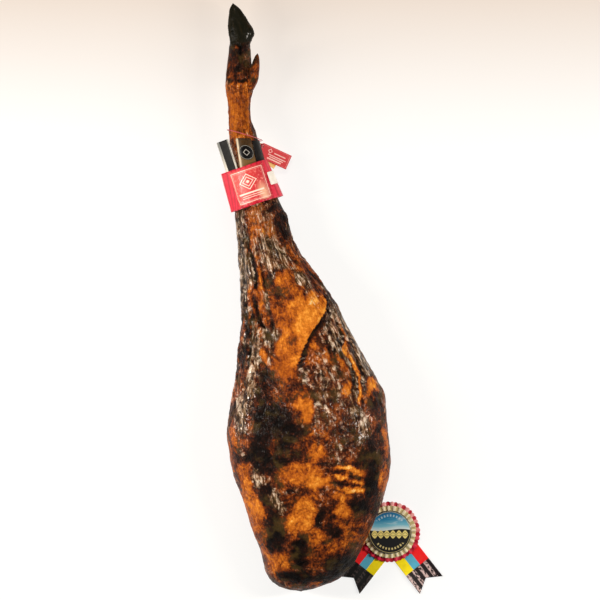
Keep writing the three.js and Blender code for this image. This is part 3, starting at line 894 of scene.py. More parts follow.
@dataclass(frozen=True)
class Satin:
    """Woven satin ribbon: a fine weave along and across, soft sheen, and a colour laid out by its map."""

    name: str
    base: Ink
    shade: Ink
    width: float  # of the ribbon, mm, along U
    length: float  # along V
    # the colour of a painted highlight along y, if any
    highlight_tint: Ink | None = None
    highlight_span: Pair = (0.0, 1.0)  # where along y the painted highlight starts and ends, metres

    def start(self) -> tuple[Graph, Socket]:
        """The graph and the weave's bump."""
        g = Graph(self.name, {"Sheen Weight": 0.06, "Sheen Roughness": 0.35, "Anisotropic": 0.25,
                              "Specular IOR Level": 0.2})
        uv = g.uv_point(self.width * MM, self.length * MM)
        x, y, _ = g.axes(uv)
        warp = g.math("SINE", g.scaled(x, FULL_TURN / (0.55 * MM)))
        weft = g.math("SINE", g.scaled(y, FULL_TURN / (0.8 * MM)))
        slub = g.noise(g.node("Mapping", {0: uv, 3: (1.0, 0.15, 1.0)}).outputs[0], 0.7, 3)
        weave = g.total(g.scaled(g.times(warp, weft), 0.5), slub)
        return g, g.bump(weave, 0.08, 0.6)

    def close(self, g: Graph, colour: Socket, normal: Socket) -> Material:
        """Finishes a ribbon."""
        rough = g.fit(g.noise(g.point(), 5, 3), 0.3, 0.7, 0.36, 0.5)
        return g.done(Base_Color=colour, Roughness=rough, Normal=normal)

    def material(self) -> Material:
        """A ribbon of one colour, with painted shade low in its pleats from the mesh's fold attribute, and a
        painted highlight along y where a highlight tint is given.
        """
        g, normal = self.start()
        # painted shade: darker low in the pleats, by each point's height on its pleat
        deep = g.fit(g.attribute("fold"), 0.15, 0.75)
        cloud = g.scaled(g.noise(g.point(), 3.5, 4), 0.5, 0.5)
        base = self.base
        # a painted highlight: along y the ribbon turns to the highlight tint
        if self.highlight_tint is not None:
            base = g.mix(g.fit(g.axes(g.point())[1], *self.highlight_span), self.base, self.highlight_tint)
        return self.close(g, g.mix(g.math("ADD", deep, cloud, clamp=True), self.shade, base), normal)


@dataclass(frozen=True)
class StripedSatin(Satin):
    """A ribbon with three lengthwise stripes and a dark end."""

    stripes: tuple[Ink, ...] = ()
    dark: Ink = (0, 0, 0, 1)
    flecks: float = 0.0
    notch: float = 0.0  # the share of its length that its end is cut in
    dark_from: float = 0.66

    def material(self) -> Material:
        """The striped ribbon; U runs from its inner edge to its outer edge, and back again under it, and V
        from its root to its end."""
        g, normal = self.start()
        u, v = g.uv()
        u = g.math("PINGPONG", u, 1.0)
        cut_in = g.math("SUBTRACT", 1.0, g.math("ABSOLUTE", g.scaled(u, 2.0, 0.5)))
        v = g.times(v, g.math("MULTIPLY_ADD", cut_in, -self.notch, 1.0))
        colour = g.mix(g.fit(u, 0.33, 0.345), self.stripes[0], self.stripes[1])
        colour = g.mix(g.fit(u, 0.62, 0.635), colour, self.stripes[2])
        cloud = g.fit(g.noise(g.point(), 6, 4), 0.35, 0.75)
        colour = g.mix(g.scaled(cloud, 0.16), colour, self.shade)
        rows = g.fit(g.math("SINE", g.scaled(u, 8 * FULL_TURN / 2)), -0.3, 0.5)
        fleck = g.fit(g.noise(g.point(stretch=(1, 2, 1), turn=40), 2.4, 4, 0.7), 0.46, 0.54)
        fleck = g.times(g.times(fleck, rows), self.flecks)
        dark = g.mix(fleck, self.dark, tint(214, 186, 182))
        colour = g.mix(g.fit(v, self.dark_from - 0.004, self.dark_from + 0.004), colour, dark)
        return self.close(g, colour, normal)


@dataclass(frozen=True)
class Twine:
    """Two-ply red string: slanting dark lines where the plies meet, and loose fibres."""

    ply: float = 1.3

    def material(self) -> Material:
        """The string."""
        g = Graph("red_twine", {"Sheen Weight": 0.4, "Roughness": 0.8})
        x, y, z = g.axes(g.point())
        slant = g.math("SINE", g.scaled(g.total(x, y, z), FULL_TURN / (self.ply * MM)))
        fibre = g.noise(g.point(), 0.4, 3)
        colour = g.mix(g.fit(g.total(slant, g.scaled(fibre, 1.6, 0.5)), -0.9, 0.6), tint(122, 20, 32),
                       tint(216, 74, 78))
        twist = g.total(g.scaled(slant, 0.5), fibre)
        return g.done(Base_Color=colour, Normal=g.bump(twist, 0.25, 0.8))


@dataclass(frozen=True)
class Studio:
    """The pale floor, the soft light and the camera over the ham."""

    floor_half: float = 9.0
    floor_drop: float = 0.0006  # keeps it clear of the faces that lie on it
    painted_falloff: Triple = (0.17, 0.27, 1.35)  # painted falloff of the light, darker and warmer: from this y, over this length, with this power
    floor_glow: float = 0.75  # the share of the floor's light that no shadow takes away
    camera_height: float = 6.0
    view_width: float = 0.864  # metres seen across the picture on the ham's middle plane
    aim: Triple = (0.0, -2.9, 50.0)  # the middle of the view in the drawing frame, mm
    sensor: float = 36.0
    surround: float = 0.14  # the strength of the even light all round
    warm: Triple = (1.0, 0.94, 0.86)
    # the soft boxes: name, place and size in metres, power in watts
    boxes: tuple[tuple[str, Triple, Pair, float], ...] = (
        ("left_box", (-1.6, -0.06, 1.1), (0.11, 1.4), 41),
        ("right_box", (1.5, -0.02, 1.35), (0.11, 1.4), 34),
        ("head_box", (-0.3, 1.7, 1.6), (1.0, 0.16), 15))

    def camera(self) -> bpy.types.Object:
        """A long lens straight above, with the trotter towards the top of the picture."""
        data = bpy.data.cameras.new("camera")
        data.sensor_width = self.sensor
        data.lens = self.sensor * (self.camera_height - self.aim[2] * MM) / self.view_width
        data.clip_end = 60
        camera = in_scene("camera", data)
        camera.location = ((SHIFT[0] + self.aim[0]) * MM, (SHIFT[1] + self.aim[1]) * MM, self.camera_height)
        bpy.context.scene.camera = camera
        return camera

    def floor(self) -> bpy.types.Object:
        """A level floor, white below the butt and darker and warmer past the trotter with a painted falloff
        of the light.
        """
        u, v = grid(3, 3)
        points = xyz((u - 0.5) * 2, (v - 0.5) * 2, 0).reshape(-1, 3) * self.floor_half
        mesh = bpy.data.meshes.new("floor")
        mesh.from_pydata(points.tolist(), [], grid_quads(3, 3, False, False)[0].tolist())
        g = Graph("floor", {"Roughness": 0.9, "Specular IOR Level": 0.1,
                            "Emission Strength": self.floor_glow})
        start, length, power = self.painted_falloff
        # painted shade: the floor falls off to a darker, warmer colour past the trotter
        past = g.math("SUBTRACT", g.axes(g.point())[1], start)
        warm = g.math("POWER", g.math("DIVIDE", past, length, clamp=True), power)
        colour = g.mix(warm, tint(255, 255, 254), tint(230, 216, 204))
        dim = g.mix(self.floor_glow, colour, tint(0, 0, 0))
        mesh.materials.append(g.done(Base_Color=dim, Emission_Color=colour))
        floor = in_scene("floor", mesh)
        floor.location.z = -self.floor_drop
        return floor

    def lamp(self, name: str, place: Triple, size: Pair, power: float) -> None:
        """A soft rectangular lamp aimed at the ham's middle, in metres and watts."""
        data = bpy.data.lights.new(name, "AREA")
        data.shape = "RECTANGLE"
        data.size, data.size_y = size
        data.energy = power
        data.color = self.warm
        lamp = in_scene(name, data)
        lamp.location = place
        lamp.rotation_euler = (Vector((0, 0, 0.05)) - Vector(place)).to_track_quat("-Z", "Y").to_euler()
        lamp.visible_camera = False

    def light(self) -> None:
        """Long soft boxes on both sides and one above the head, over an even pale surround."""
        world = bpy.data.worlds.new("studio")
        world.use_nodes = True
        background = world.node_tree.nodes["Background"]
        background.inputs["Color"].default_value = (1.0, 0.99, 0.975, 1)
        background.inputs["Strength"].default_value = self.surround
        bpy.context.scene.world = world
        for box in self.boxes:
            self.lamp(*box)
        view = bpy.context.scene.view_settings
        view.view_transform = "Standard"
        view.look = "None"
        view.exposure = 0.0


# ---------------------------------------------------------------- the ham
class Zone(Enum):
    """What a patch of skin is like: (tone, calm, dusting and glints). Tone runs from black 0 over brown 0.45
    and amber 0.6 to pale fat 1; calm takes the mottling away; the third number is a dried grey powdering
    whose pale specks are partly painted glints of light."""

    PLAIN = (0.36, 0.05, 0.3)
    HIDDEN = (0.5, 0.2, 0.35)
    BLACK = (0.06, 0.2, 0.0)
    DARK = (0.2, 0.0, 0.12)
    UMBER = (0.34, 0.2, 0.05)
    SLATE = (0.2, 0.5, 0.5)
    OLIVE = (0.36, 0.3, 0.42)
    GREY = (0.3, 0.0, 0.66)
    BROWN = (0.46, 0.2, 0.42)
    RUSSET = (0.47, 0.1, 0.12)
    AMBER = (0.545, 0.6, 0.08)
    EMBER = (0.53, 0.6, 0.0)
    ORANGE = (0.58, 0.25, 0.0)
    BRIGHT = (0.72, 0.55, 0.0)
    YELLOW = (0.84, 0.1, 0.0)
    # pale tan, used as a painted highlight near the flap's tip and on the folds right of it
    TAN = (0.88, 0.4, 0.35)


def laid_over(skin: tuple[Array, ...], zone: Zone, share: Array) -> tuple[Array, ...]:
    """Skin with a zone laid over a share of it: each of its three numbers mixed by the share."""
    return tuple(lerp(a, b, share) for a, b in zip(skin, zone.value))


@dataclass(frozen=True)
class Patch:
    """An ellipse of skin of one kind: its middle, its half sizes, how many degrees its y axis leans left,
    how much of the skin below it hides, and the width of its soft edge."""

    zone: Zone
    x: float
    y: float
    across: float
    along: float
    lean: float = 0.0
    cover: float = 1.0
    blur: float = 5.0

    def share(self, x: Array, y: Array) -> Array:
        """How much of the patch's kind a point takes: 1 well inside the ellipse, 0 well outside."""
        dx, dy = turned(x - self.x, y - self.y, -math.radians(self.lean))
        r = np.hypot(dx / self.across, dy / self.along)
        soft = min(0.45, self.blur / min(self.across, self.along))
        return self.cover * smoothstep(1 + soft, 1 - soft, r)


@dataclass(frozen=True)
class Crease:
    """A groove in the skin along a line of straight legs, with lips: its half width and depth."""

    line: tuple[Pair, ...]
    width: float
    depth: float

    def height(self, x: Array, y: Array) -> Array:
        """The groove's height, below zero inside: minus a bell curve of the distance, plus a third of it
        two widths out, running out towards both ends."""
        d, _, share = distance_to_line(x, y, np.array(self.line))
        ends = smoothstep(0, 0.22, share) * smoothstep(1, 0.78, share)
        groove = np.exp(-(d / self.width) ** 2)
        lips = np.exp(-((d - 2.1 * self.width) / self.width) ** 2)
        return self.depth * ends * (0.35 * lips - groove)


# the skin's creases, each a line, a half width and a depth
CREASES = tuple(Crease(*row) for row in (
    (((-80, 124), (-77, 88), (-68, 54), (-62, 12), (-60, -25), (-50, -44), (-36, -60)), 3.4, 3.2),
    (((-28, 58), (-8, 52), (8, 44), (20, 32), (34, 16), (47, -2)), 1.7, 1.7),
    (((-60, 24), (-50, 17), (-38, 14)), 1.7, 1.3),
    (((-62, -30), (-50, -42), (-37, -57)), 1.9, 1.6),
    (((-58, -68), (-42, -78), (-26, -91)), 2.0, 1.8),
    (((-66, -84), (-50, -96), (-40, -112)), 2.0, 1.4),
    (((45, -19), (39, -40), (26, -58)), 1.9, 1.9),
    (((45, -46), (58, -67), (66, -87), (78, -110)), 2.3, 2.4),
    (((40, -66), (47, -89), (60, -116)), 2.1, 2.0),
    (((70, -42), (85, -80), (101, -114)), 2.2, 2.0),
    (((19, -72), (38, -95), (48, -120)), 1.8, 1.6),
    (((70, -100), (82, -129), (95, -158)), 1.9, 1.8),
    (((97, -100), (107, -135), (117, -162)), 2.0, 1.6),
    (((56, -28), (63, -45), (72, -60)), 1.7, 1.5),
    (((30, -100), (36, -122), (34, -146)), 2.0, 1.1),
    (((42, -8), (52, -34), (62, -64), (72, -96), (80, -128)), 2.4, 3.0),
    (((52, -14), (64, -44), (78, -78), (90, -112)), 2.0, 2.2),
    (((36, -36), (44, -62), (52, -88), (54, -108)), 1.8, 1.8),
    (((-70, 84), (-58, 56), (-50, 20), (-46, -10)), 2.2, 2.0),
    (((-86, 70), (-80, 34), (-76, -8), (-78, -48), (-84, -96)), 2.2, 2.4),
    (((-72, 10), (-68, -30), (-70, -70), (-76, -112)), 2.0, 2.0),
    (((-48, -8), (-40, -28), (-34, -50)), 1.7, 1.5),
    (((-50, 108), (-46, 84), (-38, 62)), 1.7, 1.3),
    (((4, -256), (-8, -285), (-12, -306), (-13, -320)), 1.2, 1.0),
    (((30, -246), (58, -250), (92, -262)), 1.9, 1.5),
    (((36, -262), (62, -266), (94, -276)), 1.8, 1.5),
    (((42, -276), (66, -274), (84, -284)), 1.7, 1.2),
    (((-30, -362), (-6, -350), (24, -352), (52, -342)), 2.4, 1.1),
    (((-20, -388), (8, -378), (40, -384)), 2.6, 1.2),
    (((-108, 314), (-92, 311.5), (-72, 315)), 1.9, 1.9),
    (((-108, 362), (-97, 367), (-84, 361), (-68, 366)), 2.0, 1.6),
    (((-87, 378), (-86, 360), (-86, 340), (-88, 322)), 2.4, 1.7),
))

# the skin's patches, laid in this order
PATCHES = tuple(Patch(*row) for row in (
    # the shank below the band and the thigh
    (Zone.BROWN, -60, 100, 28, 52, 12),
    (Zone.DARK, -28, 116, 12, 34, 22, 0.9),
    (Zone.SLATE, -84, 48, 12, 72, 2),
    # thin dark lines along the left grooves: painted shade in the creases
    (Zone.BLACK, -66, 34, 2.6, 44, 5, 0.9),
    (Zone.BLACK, -70, -34, 2.6, 26, -14, 0.9),
    (Zone.BLACK, -78, -84, 2.6, 28, -2, 0.8),
    (Zone.GREY, -38, 54, 20, 28, 10),
    (Zone.RUSSET, -4, 58, 9, 26, 37, 0.8),
    (Zone.UMBER, 28, 26, 8, 40, 37),
    (Zone.GREY, 5, 26, 9, 24, 42, 0.9),
    (Zone.RUSSET, -52, 6, 12, 40, 8),
    (Zone.GREY, -46, -8, 7, 22, 14, 0.7),
    (Zone.ORANGE, -20, 26, 13, 17, 8),
    (Zone.RUSSET, -24, -14, 18, 32, 4),
    (Zone.ORANGE, -8, -14, 20, 36, 4),
    (Zone.EMBER, -18, -62, 14, 46, 8),
    (Zone.BRIGHT, 9, -30, 12, 34, -14),
    (Zone.BROWN, 24, 4, 14, 16, 40, 0.6),
    # a painted highlight near the flap's tip
    (Zone.TAN, 28, -7, 10, 17, 30, 0.7),
    (Zone.UMBER, -11, 4, 8, 7, 0, 0.75),
    (Zone.UMBER, -31, 8, 7, 8, 0, 0.6),
    (Zone.UMBER, -4, -22, 6, 12, 0, 0.7),
    (Zone.UMBER, -14, -40, 5, 10, 12, 0.5),
    # right of the flap
    (Zone.SLATE, 70, -70, 20, 66, 27),
    (Zone.GREY, 48, -50, 13, 40, 24, 0.95),
    (Zone.BROWN, 66, -60, 8, 44, 27, 0.9),
    (Zone.GREY, 84, -86, 7, 34, 24, 0.8),
    (Zone.YELLOW, 17, -60, 6, 14, 14, 0.95),
    (Zone.BROWN, 26, -88, 12, 16, 20),
    # the left side of the middle
    (Zone.DARK, -87, -60, 8, 62),
    (Zone.BROWN, -48, -72, 16, 32, 8),
    (Zone.GREY, -66, -96, 9, 54, -3, 0.95),
    (Zone.SLATE, -40, -56, 12, 18, 12, 0.8),
    (Zone.ORANGE, -54, -84, 5, 10, 0, 0.8),
    (Zone.DARK, -50, -126, 16, 24),
    (Zone.EMBER, -22, -92, 17, 30, 4),
    (Zone.ORANGE, -16, -76, 10, 24, 6, 0.8),
    (Zone.OLIVE, 5, -104, 9, 16, 6, 0.9),
    (Zone.OLIVE, 30, -118, 24, 20, 0, 0.8),
    (Zone.UMBER, -6, -134, 24, 15, 0, 0.9),
    (Zone.GREY, -82, -162, 7, 40, -10, 0.9),
    (Zone.UMBER, -66, -186, 7, 36, -8, 0.8),
    (Zone.BLACK, -40, -184, 30, 36),
    (Zone.BLACK, -8, -194, 18, 13),
    (Zone.BLACK, -50, -226, 28, 24),
    (Zone.DARK, -24, -236, 20, 16),
    (Zone.UMBER, -36, -206, 12, 10, 0, 0.8),
    (Zone.RUSSET, -97, -226, 6, 36, 4, 0.8),
    (Zone.BRIGHT, 8, -153, 17, 9),
    (Zone.BRIGHT, 13, -165, 10, 13, 0, 0.95),
    # the right side of the middle
    (Zone.OLIVE, 46, -146, 26, 54),
    (Zone.GREY, 84, -162, 9, 44, 14, 0.85),
    # a painted highlight on a fold right of the flap
    (Zone.TAN, 66, -132, 6, 9, 20, 0.7),
    (Zone.DARK, 112, -168, 9, 42, 8),
    (Zone.ORANGE, 58, -92, 5, 11, 20, 0.8),
    # a painted highlight along a fold right of the flap
    (Zone.TAN, 66, -76, 3, 17, 27),
    (Zone.YELLOW, 79, -104, 3, 24, 17),
    (Zone.YELLOW, 86, -138, 2.5, 13, 12, 0.8),
    (Zone.BRIGHT, 102, -127, 7, 9, 0, 0.9),
    (Zone.ORANGE, 122, -206, 6, 22, 5),
    (Zone.OLIVE, 62, -214, 24, 18, 0, 0.8),
    # the butt, down to its end
    (Zone.UMBER, 8, -214, 26, 18),
    (Zone.ORANGE, 24, -216, 9, 16),
    (Zone.GREY, 25, -202, 3, 14, 0, 0.8),
    (Zone.ORANGE, 4, -250, 30, 20, -10),
    (Zone.BRIGHT, 26, -266, 16, 9, -10),
    (Zone.UMBER, 76, -258, 28, 24),
    (Zone.YELLOW, 70, -245, 17, 4, -10),
    (Zone.YELLOW, 58, -256, 10, 3.5, 12, 0.9),
    (Zone.YELLOW, 86, -260, 13, 3.5, -12),
    (Zone.YELLOW, 76, -271, 20, 4, 6),
    (Zone.YELLOW, 62, -285, 14, 8, -6, 0.6),
    (Zone.BLACK, 88, -294, 22, 12, -12),
    (Zone.BLACK, 104, -262, 9, 42, 4),
    (Zone.DARK, 98, -224, 13, 24),
    (Zone.ORANGE, 121, -256, 7, 17),
    (Zone.GREY, -58, -262, 13, 20, 20, 0.95),
    (Zone.BLACK, -46, -282, 11, 17, 22, 0.9),
    (Zone.GREY, -34, -290, 9, 20, 24, 0.9),
    (Zone.RUSSET, -79, -262, 7, 26, 15),
    (Zone.ORANGE, -68, -304, 15, 36, 15),
    (Zone.BRIGHT, -64, -298, 8, 16, 15, 0.8),
    (Zone.RUSSET, 4, -286, 26, 12),
    (Zone.ORANGE, 2, -312, 26, 19),
    (Zone.ORANGE, 62, -312, 15, 18),
    (Zone.RUSSET, 76, -336, 24, 18),
    (Zone.DARK, 38, -316, 11, 13),
    (Zone.BLACK, 50, -336, 12, 9, -20),
    (Zone.RUSSET, 18, -342, 20, 14),
    (Zone.RUSSET, -51, -346, 7, 30, 16, 0.9),
    (Zone.BLACK, -33, -340, 12, 31, 8),
    (Zone.ORANGE, -27, -380, 14, 22, 15),
    (Zone.BLACK, 2, -360, 12, 21),
    (Zone.UMBER, 30, -366, 26, 14),
    (Zone.RUSSET, 56, -356, 20, 9, 20, 0.9),
    (Zone.BLACK, 62, -384, 24, 17, 28),
    (Zone.BLACK, 8, -402, 36, 12, 0, 0.9),
    (Zone.ORANGE, 25, -412, 11, 5, 0, 0.8),
    # the shank above the band and the foot
    (Zone.BROWN, -80, 180, 40, 46),
    (Zone.AMBER, -87, 268, 24, 44, 0),
    (Zone.RUSSET, -78, 240, 18, 12, 0, 0.7),
    (Zone.DARK, -63, 240, 5, 26, 8, 0.9),
    (Zone.RUSSET, -84, 303, 26, 9, 0, 0.8),
    (Zone.DARK, -88, 341, 28, 32),
    (Zone.UMBER, -99, 328, 6, 16, 0, 0.8),
    (Zone.OLIVE, -76, 347, 6, 16, 0, 0.5),
    (Zone.UMBER, -66, 316, 9, 16),
))


@dataclass
class Leg:
    """The ham itself: a smooth loft of its outline with folds, the skin flap and wrinkles raised on it."""

    # [y, left, right, bottom, top] from the butt to the end of the foot
    stations: Array = field(default_factory=lambda: np.array([
        [-423.5, 1.5, 1.5, 42, 42], [-419, -23, 21.5, 24, 63], [-409, -40, 44.5, 9, 77],
        [-394.5, -50, 64, -1, 89], [-371.5, -56, 82, -6, 101], [-334, -68, 101.5, -7, 113],
        [-291, -82, 120.5, -7, 124], [-242, -98.5, 131.5, -7, 131], [-190, -102, 126, -7, 133],
        [-140, -96, 117.5, -6.5, 130], [-89, -89.5, 93.5, -5, 122], [-39, -84, 65.5, -2, 112],
        [4, -85, 45, 2, 103], [47.5, -86.5, 13, 8, 95], [83.5, -89, -9.5, 13, 88],
        [119.5, -93, -21, 18, 83], [155.5, -95.5, -37, 22.5, 77.5], [191.5, -98.5, -50, 26, 75],
        [227.5, -101.5, -60.5, 28, 74], [259, -103, -70, 30, 71], [279.5, -104.5, -70.5, 30, 72],
        [299.5, -106.5, -67.5, 29, 74.5], [325.5, -106.5, -69, 29, 74], [348.5, -103.5, -70.5, 30, 71],
        [368.5, -101.5, -72, 31, 69], [381.5, -98, -76, 36, 64], [389, -87, -87, 50, 50]]))
    rings: int = 428
    around: int = 214
    belly: float = 0.4
    shank_middle: float = 0.5
    shank_starts: float = 160.0
    body_roundness: float = 2.35
    shank_roundness: float = 2.1
    top_share: float = 0.3  # how much closer the points lie on the upper side

    # toes and dewclaws: [x, y, lift, half width across, half thickness] from root to tip
    foot_middle: float = 50.0
    toe_spread: float = 10.4
    dewclaw_spread: float = 12.5
    growth_lines: float = 0.012
    toe: Array = field(default_factory=lambda: np.array([
        [-86, 358, 0, 0, 0], [-86.4, 363, 0, 12, 7], [-85, 374.5, 0, 16.5, 9.4], [-84.6, 383, 0, 18.6, 9.9],
        [-87.8, 394.5, 0, 15.4, 9.3], [-91, 406, 0, 11.6, 8], [-93.8, 416, 0, 7.2, 5.6],
        [-96.5, 424, 0, 0, 0]]))
    dewclaw: Array = field(default_factory=lambda: np.array([
        [-81, 288, -3, 0, 0], [-79, 296, -2, 9, 7.5], [-70.5, 312, 0, 9.4, 8], [-66, 326, 1.5, 7.2, 6.8],
        [-63.5, 338, 2.5, 5.2, 5.2], [-61.8, 347, 3, 2.9, 3], [-61, 351.5, 3, 0, 0]]))

    # the free edge of the skin flap, from its tip down towards the butt
    flap: Array = field(default_factory=lambda: np.array([
        [28, 12], [38, -4], [37, -19], [28, -33], [19, -46], [11, -60], [4, -75], [-1, -90], [-6, -104]]))
    flap_height: float = 3.4
    flap_reach: float = 24.0
    flap_dip: float = 1.6
    flap_dip_reach: float = 7.0

    # heights of the large and small swellings, the pores and the lengthwise wrinkles
    swelling: float = 2.6
    lump: float = 0.9
    pore: float = 0.4
    wrinkle: float = 3.2

    creases: tuple[Crease, ...] = CREASES
    patches: tuple[Patch, ...] = PATCHES

    def outline(self, place: Array) -> tuple[Array, ...]:
        """y, left, right, bottom and top at station numbers."""
        return tuple(np.moveaxis(rows_at(self.stations, place), -1, 0))

    def surface(self, place: Array, angle: Array, gap: float | Array = 0.0) -> Array:
        """A point of the smooth skin.

        Across the section the point is at the cosine and the sine of the angle, each to a power that
        makes a superellipse, times the half sizes; what lies below the floor is pressed flat on it.

        Args:
            place: station number.
            angle: round the section in radians; a quarter turn is straight up.
            gap: how far outside the skin.

        Returns:
            Points in mm.
        """
        y, left, right, bottom, top = self.outline(place)
        shank = smoothstep(0, self.shank_starts, y)
        middle = lerp(bottom, top, lerp(self.belly, self.shank_middle, shank))
        power = 2 / lerp(self.body_roundness, self.shank_roundness, shank)
        tall = np.where(np.sin(angle) > 0, top - middle, middle - bottom) + gap
        x = (left + right) / 2 + ((right - left) / 2 + gap) * signed_power(np.cos(angle), power)
        return xyz(x, y, np.maximum(middle + tall * signed_power(np.sin(angle), power), 0))

    def place_of(self, y: Array) -> Array:
        """The station numbers where the outline has these y values."""
        fine = np.linspace(0, len(self.stations) - 1, 3000)
        return np.interp(y, self.outline(fine)[0], fine)

    def even_places(self) -> Array:
        """Station numbers of the rings, spaced evenly along the outline's edge in plan."""
        fine = np.linspace(0, len(self.stations) - 1, 6000)
        y, left, right, bottom, top = self.outline(fine)
        step = np.hypot(np.diff(y), np.hypot(np.diff((right - left) / 2), np.diff(top - bottom) / 2))
        length = np.concatenate([[0], np.cumsum(step)])
        return np.interp(np.linspace(0, length[-1], self.rings + 2)[1:-1], length, fine)

    def relief(self, points: Array, normals: Array) -> Array:
        """How far the skin stands out at each point, in mm.

        Clouds of three sizes, lengthwise ridges up the shank and beside the flap, the creases, and the
        flap: a step that falls off on both sides of its edge. All of it dies out towards the floor and
        is small under the band and the collar.

        Args:
            points: of the smooth skin.
            normals: pointing out.

        Returns:
            The heights.
        """
        x, y, z = np.moveaxis(points, -1, 0)
        big, small = Noise(11), Noise(12)
        body = smoothstep(230, 40, y)
        height = self.swelling * big.cloud(points, 64, 3) * (0.3 + 0.7 * body)
        height += self.lump * small.cloud(points, 17, 4) * (0.4 + 0.6 * body)
        height += self.pore * small.cloud(points + 90, 5.5, 2)
        height += self.wrinkle * self.wrinkles(points)
        up = smoothstep(-0.15, 0.35, normals[..., 2])
        height += up * (self.grooves(points) + self.flap_step(x, y))
        held = smoothstep(118, 132, y) * smoothstep(242, 233, y)
        foot = smoothstep(2, 16, z)
        return height * foot * (1 - 0.8 * held)

    def wrinkles(self, points: Array) -> Array:
        """Lengthwise ridges, from -0.45 in the hollows to 0.55 on the crests, where the skin has them."""
        x, y, _ = np.moveaxis(points, -1, 0)
        wave, long = Noise(14), Noise(13)
        lean = points + xyz(0.4 * y * smoothstep(230, 40, y), 0, 0)
        shifted = lean + 3.5 * wave.cloud(points, 30, 3)[..., None]
        ridges = 0.65 * long.ridges(shifted, (14, 90, 14), 3) + 0.35 * wave.ridges(shifted, (6, 34, 6), 3)
        return self.fibre_share(x, y) * (ridges - 0.45)

    def grooves(self, points: Array) -> Array:
        """The sum of all creases on points that noise has shifted, deeper here and fainter there."""
        wave = Noise(15)
        x = points[..., 0] + 2.2 * wave.cloud(points, 22, 3)
        y = points[..., 1] + 2.2 * wave.cloud(points + 70, 22, 3)
        depth = 0.85 + 0.6 * wave.cloud(points + 140, 16, 2)
        return depth * sum(c.height(x, y) for c in self.creases)

    def fibre_share(self, x: Array, y: Array) -> Array:
        """Where lengthwise wrinkles show: the thigh and shank, the left side, and right of the flap."""
        left = smoothstep(-34, -52, x) * smoothstep(-210, -150, y)
        thigh = np.maximum(smoothstep(-130, 20, y) * (0.55 + 0.45 * smoothstep(-10, 60, y)), left)
        right = smoothstep(18, 45, x + 0.5 * (y + 60)) * smoothstep(-190, -120, y)
        return np.clip(np.maximum(thigh * 0.9, right), 0, 1) * smoothstep(360, 300, y)

    def flap_step(self, x: Array, y: Array) -> Array:
        """The flap stands up along its edge and the skin outside it dips: an exponential of the distance."""
        d, side, share = distance_to_line(x, y, self.flap)
        ends = smoothstep(0, 0.12, share) * smoothstep(1, 0.7, share)
        raised = self.flap_height * np.exp(-d / self.flap_reach)
        dipped = -self.flap_dip * np.exp(-d / self.flap_dip_reach)
        return ends * np.where(side < 0, raised, dipped)

    def body(self) -> Shell:
        """The leg with its relief, from the butt to the end of the foot."""
        place = self.even_places()[:, None]
        turn = FULL_TURN * (np.arange(self.around) / self.around + 0.25)
        angle = (-turn + self.top_share * np.cos(turn))[None, :]
        points = self.surface(place, angle)
        normals = grid_normals(points, wrap_columns=True)
        points = points + normals * self.relief(points, normals)[..., None]
        points[..., 2] = np.maximum(points[..., 2], 0)
        poles = (np.array([(s[1] + s[2]) / 2, s[0], (s[3] + s[4]) / 2]) for s in self.stations[[0, -1]])
        return capped_tube(points, *poles).in_chart((0.01, 0.01), (0.99, 0.915))

    def horn(self, stations: Array, side: int, spread: float, rings: int, around: int) -> Shell:
        """A toe or dewclaw: ellipses of its stations' sizes, with growth rings and a few lengthwise lines.

        Args:
            stations: its rows from root to tip.
            side: +1 for the upper one, -1 for the lower one.
            spread: how far it stands off the foot's middle plane.
            rings, around: points each way.

        Returns:
            The closed horn.
        """
        place = np.linspace(0, len(stations) - 1, rings + 2)[1:-1, None]
        angle = FULL_TURN * np.arange(around)[None, :] / around
        x, y, lift, across, thick = np.moveaxis(rows_at(stations, place), -1, 0)
        rough = Noise(21 + side)
        base = xyz(x, y, self.foot_middle + side * (spread + lift))
        ray = xyz(across * np.cos(angle), 0, thick * np.sin(angle))
        fine = np.sin(5 * angle + 3 * rough.cloud(base + ray, 14, 2))
        lines = self.growth_lines * fine + self.growth_lines * np.sin(y * 1.9)
        points = base + ray * (1 + lines + 0.03 * rough.cloud(base + ray, 6, 3))[..., None]
        tips = (np.array([s[0], s[1], self.foot_middle + side * (spread + s[2])]) for s in stations[[0, -1]])
        return capped_tube(points, *tips)

    def paint(self, points: Array, normals: Array) -> dict[str, Array]:
        """The skin's tone, calm, dusting and glints, fibres and horn at each point, from 0 to 1.

        The patches are laid one over another on points that noise has shifted, so their edges are
        ragged. The flap's raised edge has a painted highlight, with a painted shadow beside it. Creases
        have painted shade in them and painted highlights on their lips; wrinkle crests have painted
        highlights and more dusting and glints, and the hidden side is plain brown.

        Args:
            points: in mm in the drawing frame.
            normals: pointing out.

        Returns:
            One array for each name.
        """
        x, y, _ = np.moveaxis(points, -1, 0)
        wander, ragged = Noise(31), Noise(32)
        wx = x + 7 * wander.cloud(points, 30, 4, 0.6) + 1.5 * ragged.cloud(points, 5, 2)
        wy = y + 9 * wander.cloud(points + 200, 30, 4, 0.6) + 2 * ragged.cloud(points + 50, 5, 2)
        skin = tuple(np.full(x.shape, v) for v in Zone.PLAIN.value)
        for patch in self.patches:
            skin = laid_over(skin, patch.zone, patch.share(wx, wy))
        up = smoothstep(-0.15, 0.35, normals[..., 2])
        d, side, share = distance_to_line(x, y, self.flap)
        edge = smoothstep(0.03, 0.12, share) * smoothstep(1, 0.85, share) * up
        # along the flap's edge: a painted highlight on its raised side and a painted shadow on the skin
        # beside it
        for zone, reach, where in ((Zone.BRIGHT, 10, side < 0), (Zone.DARK, 9, side > 0)):
            skin = laid_over(skin, zone, edge * np.exp(-(d / reach) ** 2) * where)
        tone, calm, dust = skin
        grooves, wrinkles = up * self.grooves(points), self.wrinkles(points)
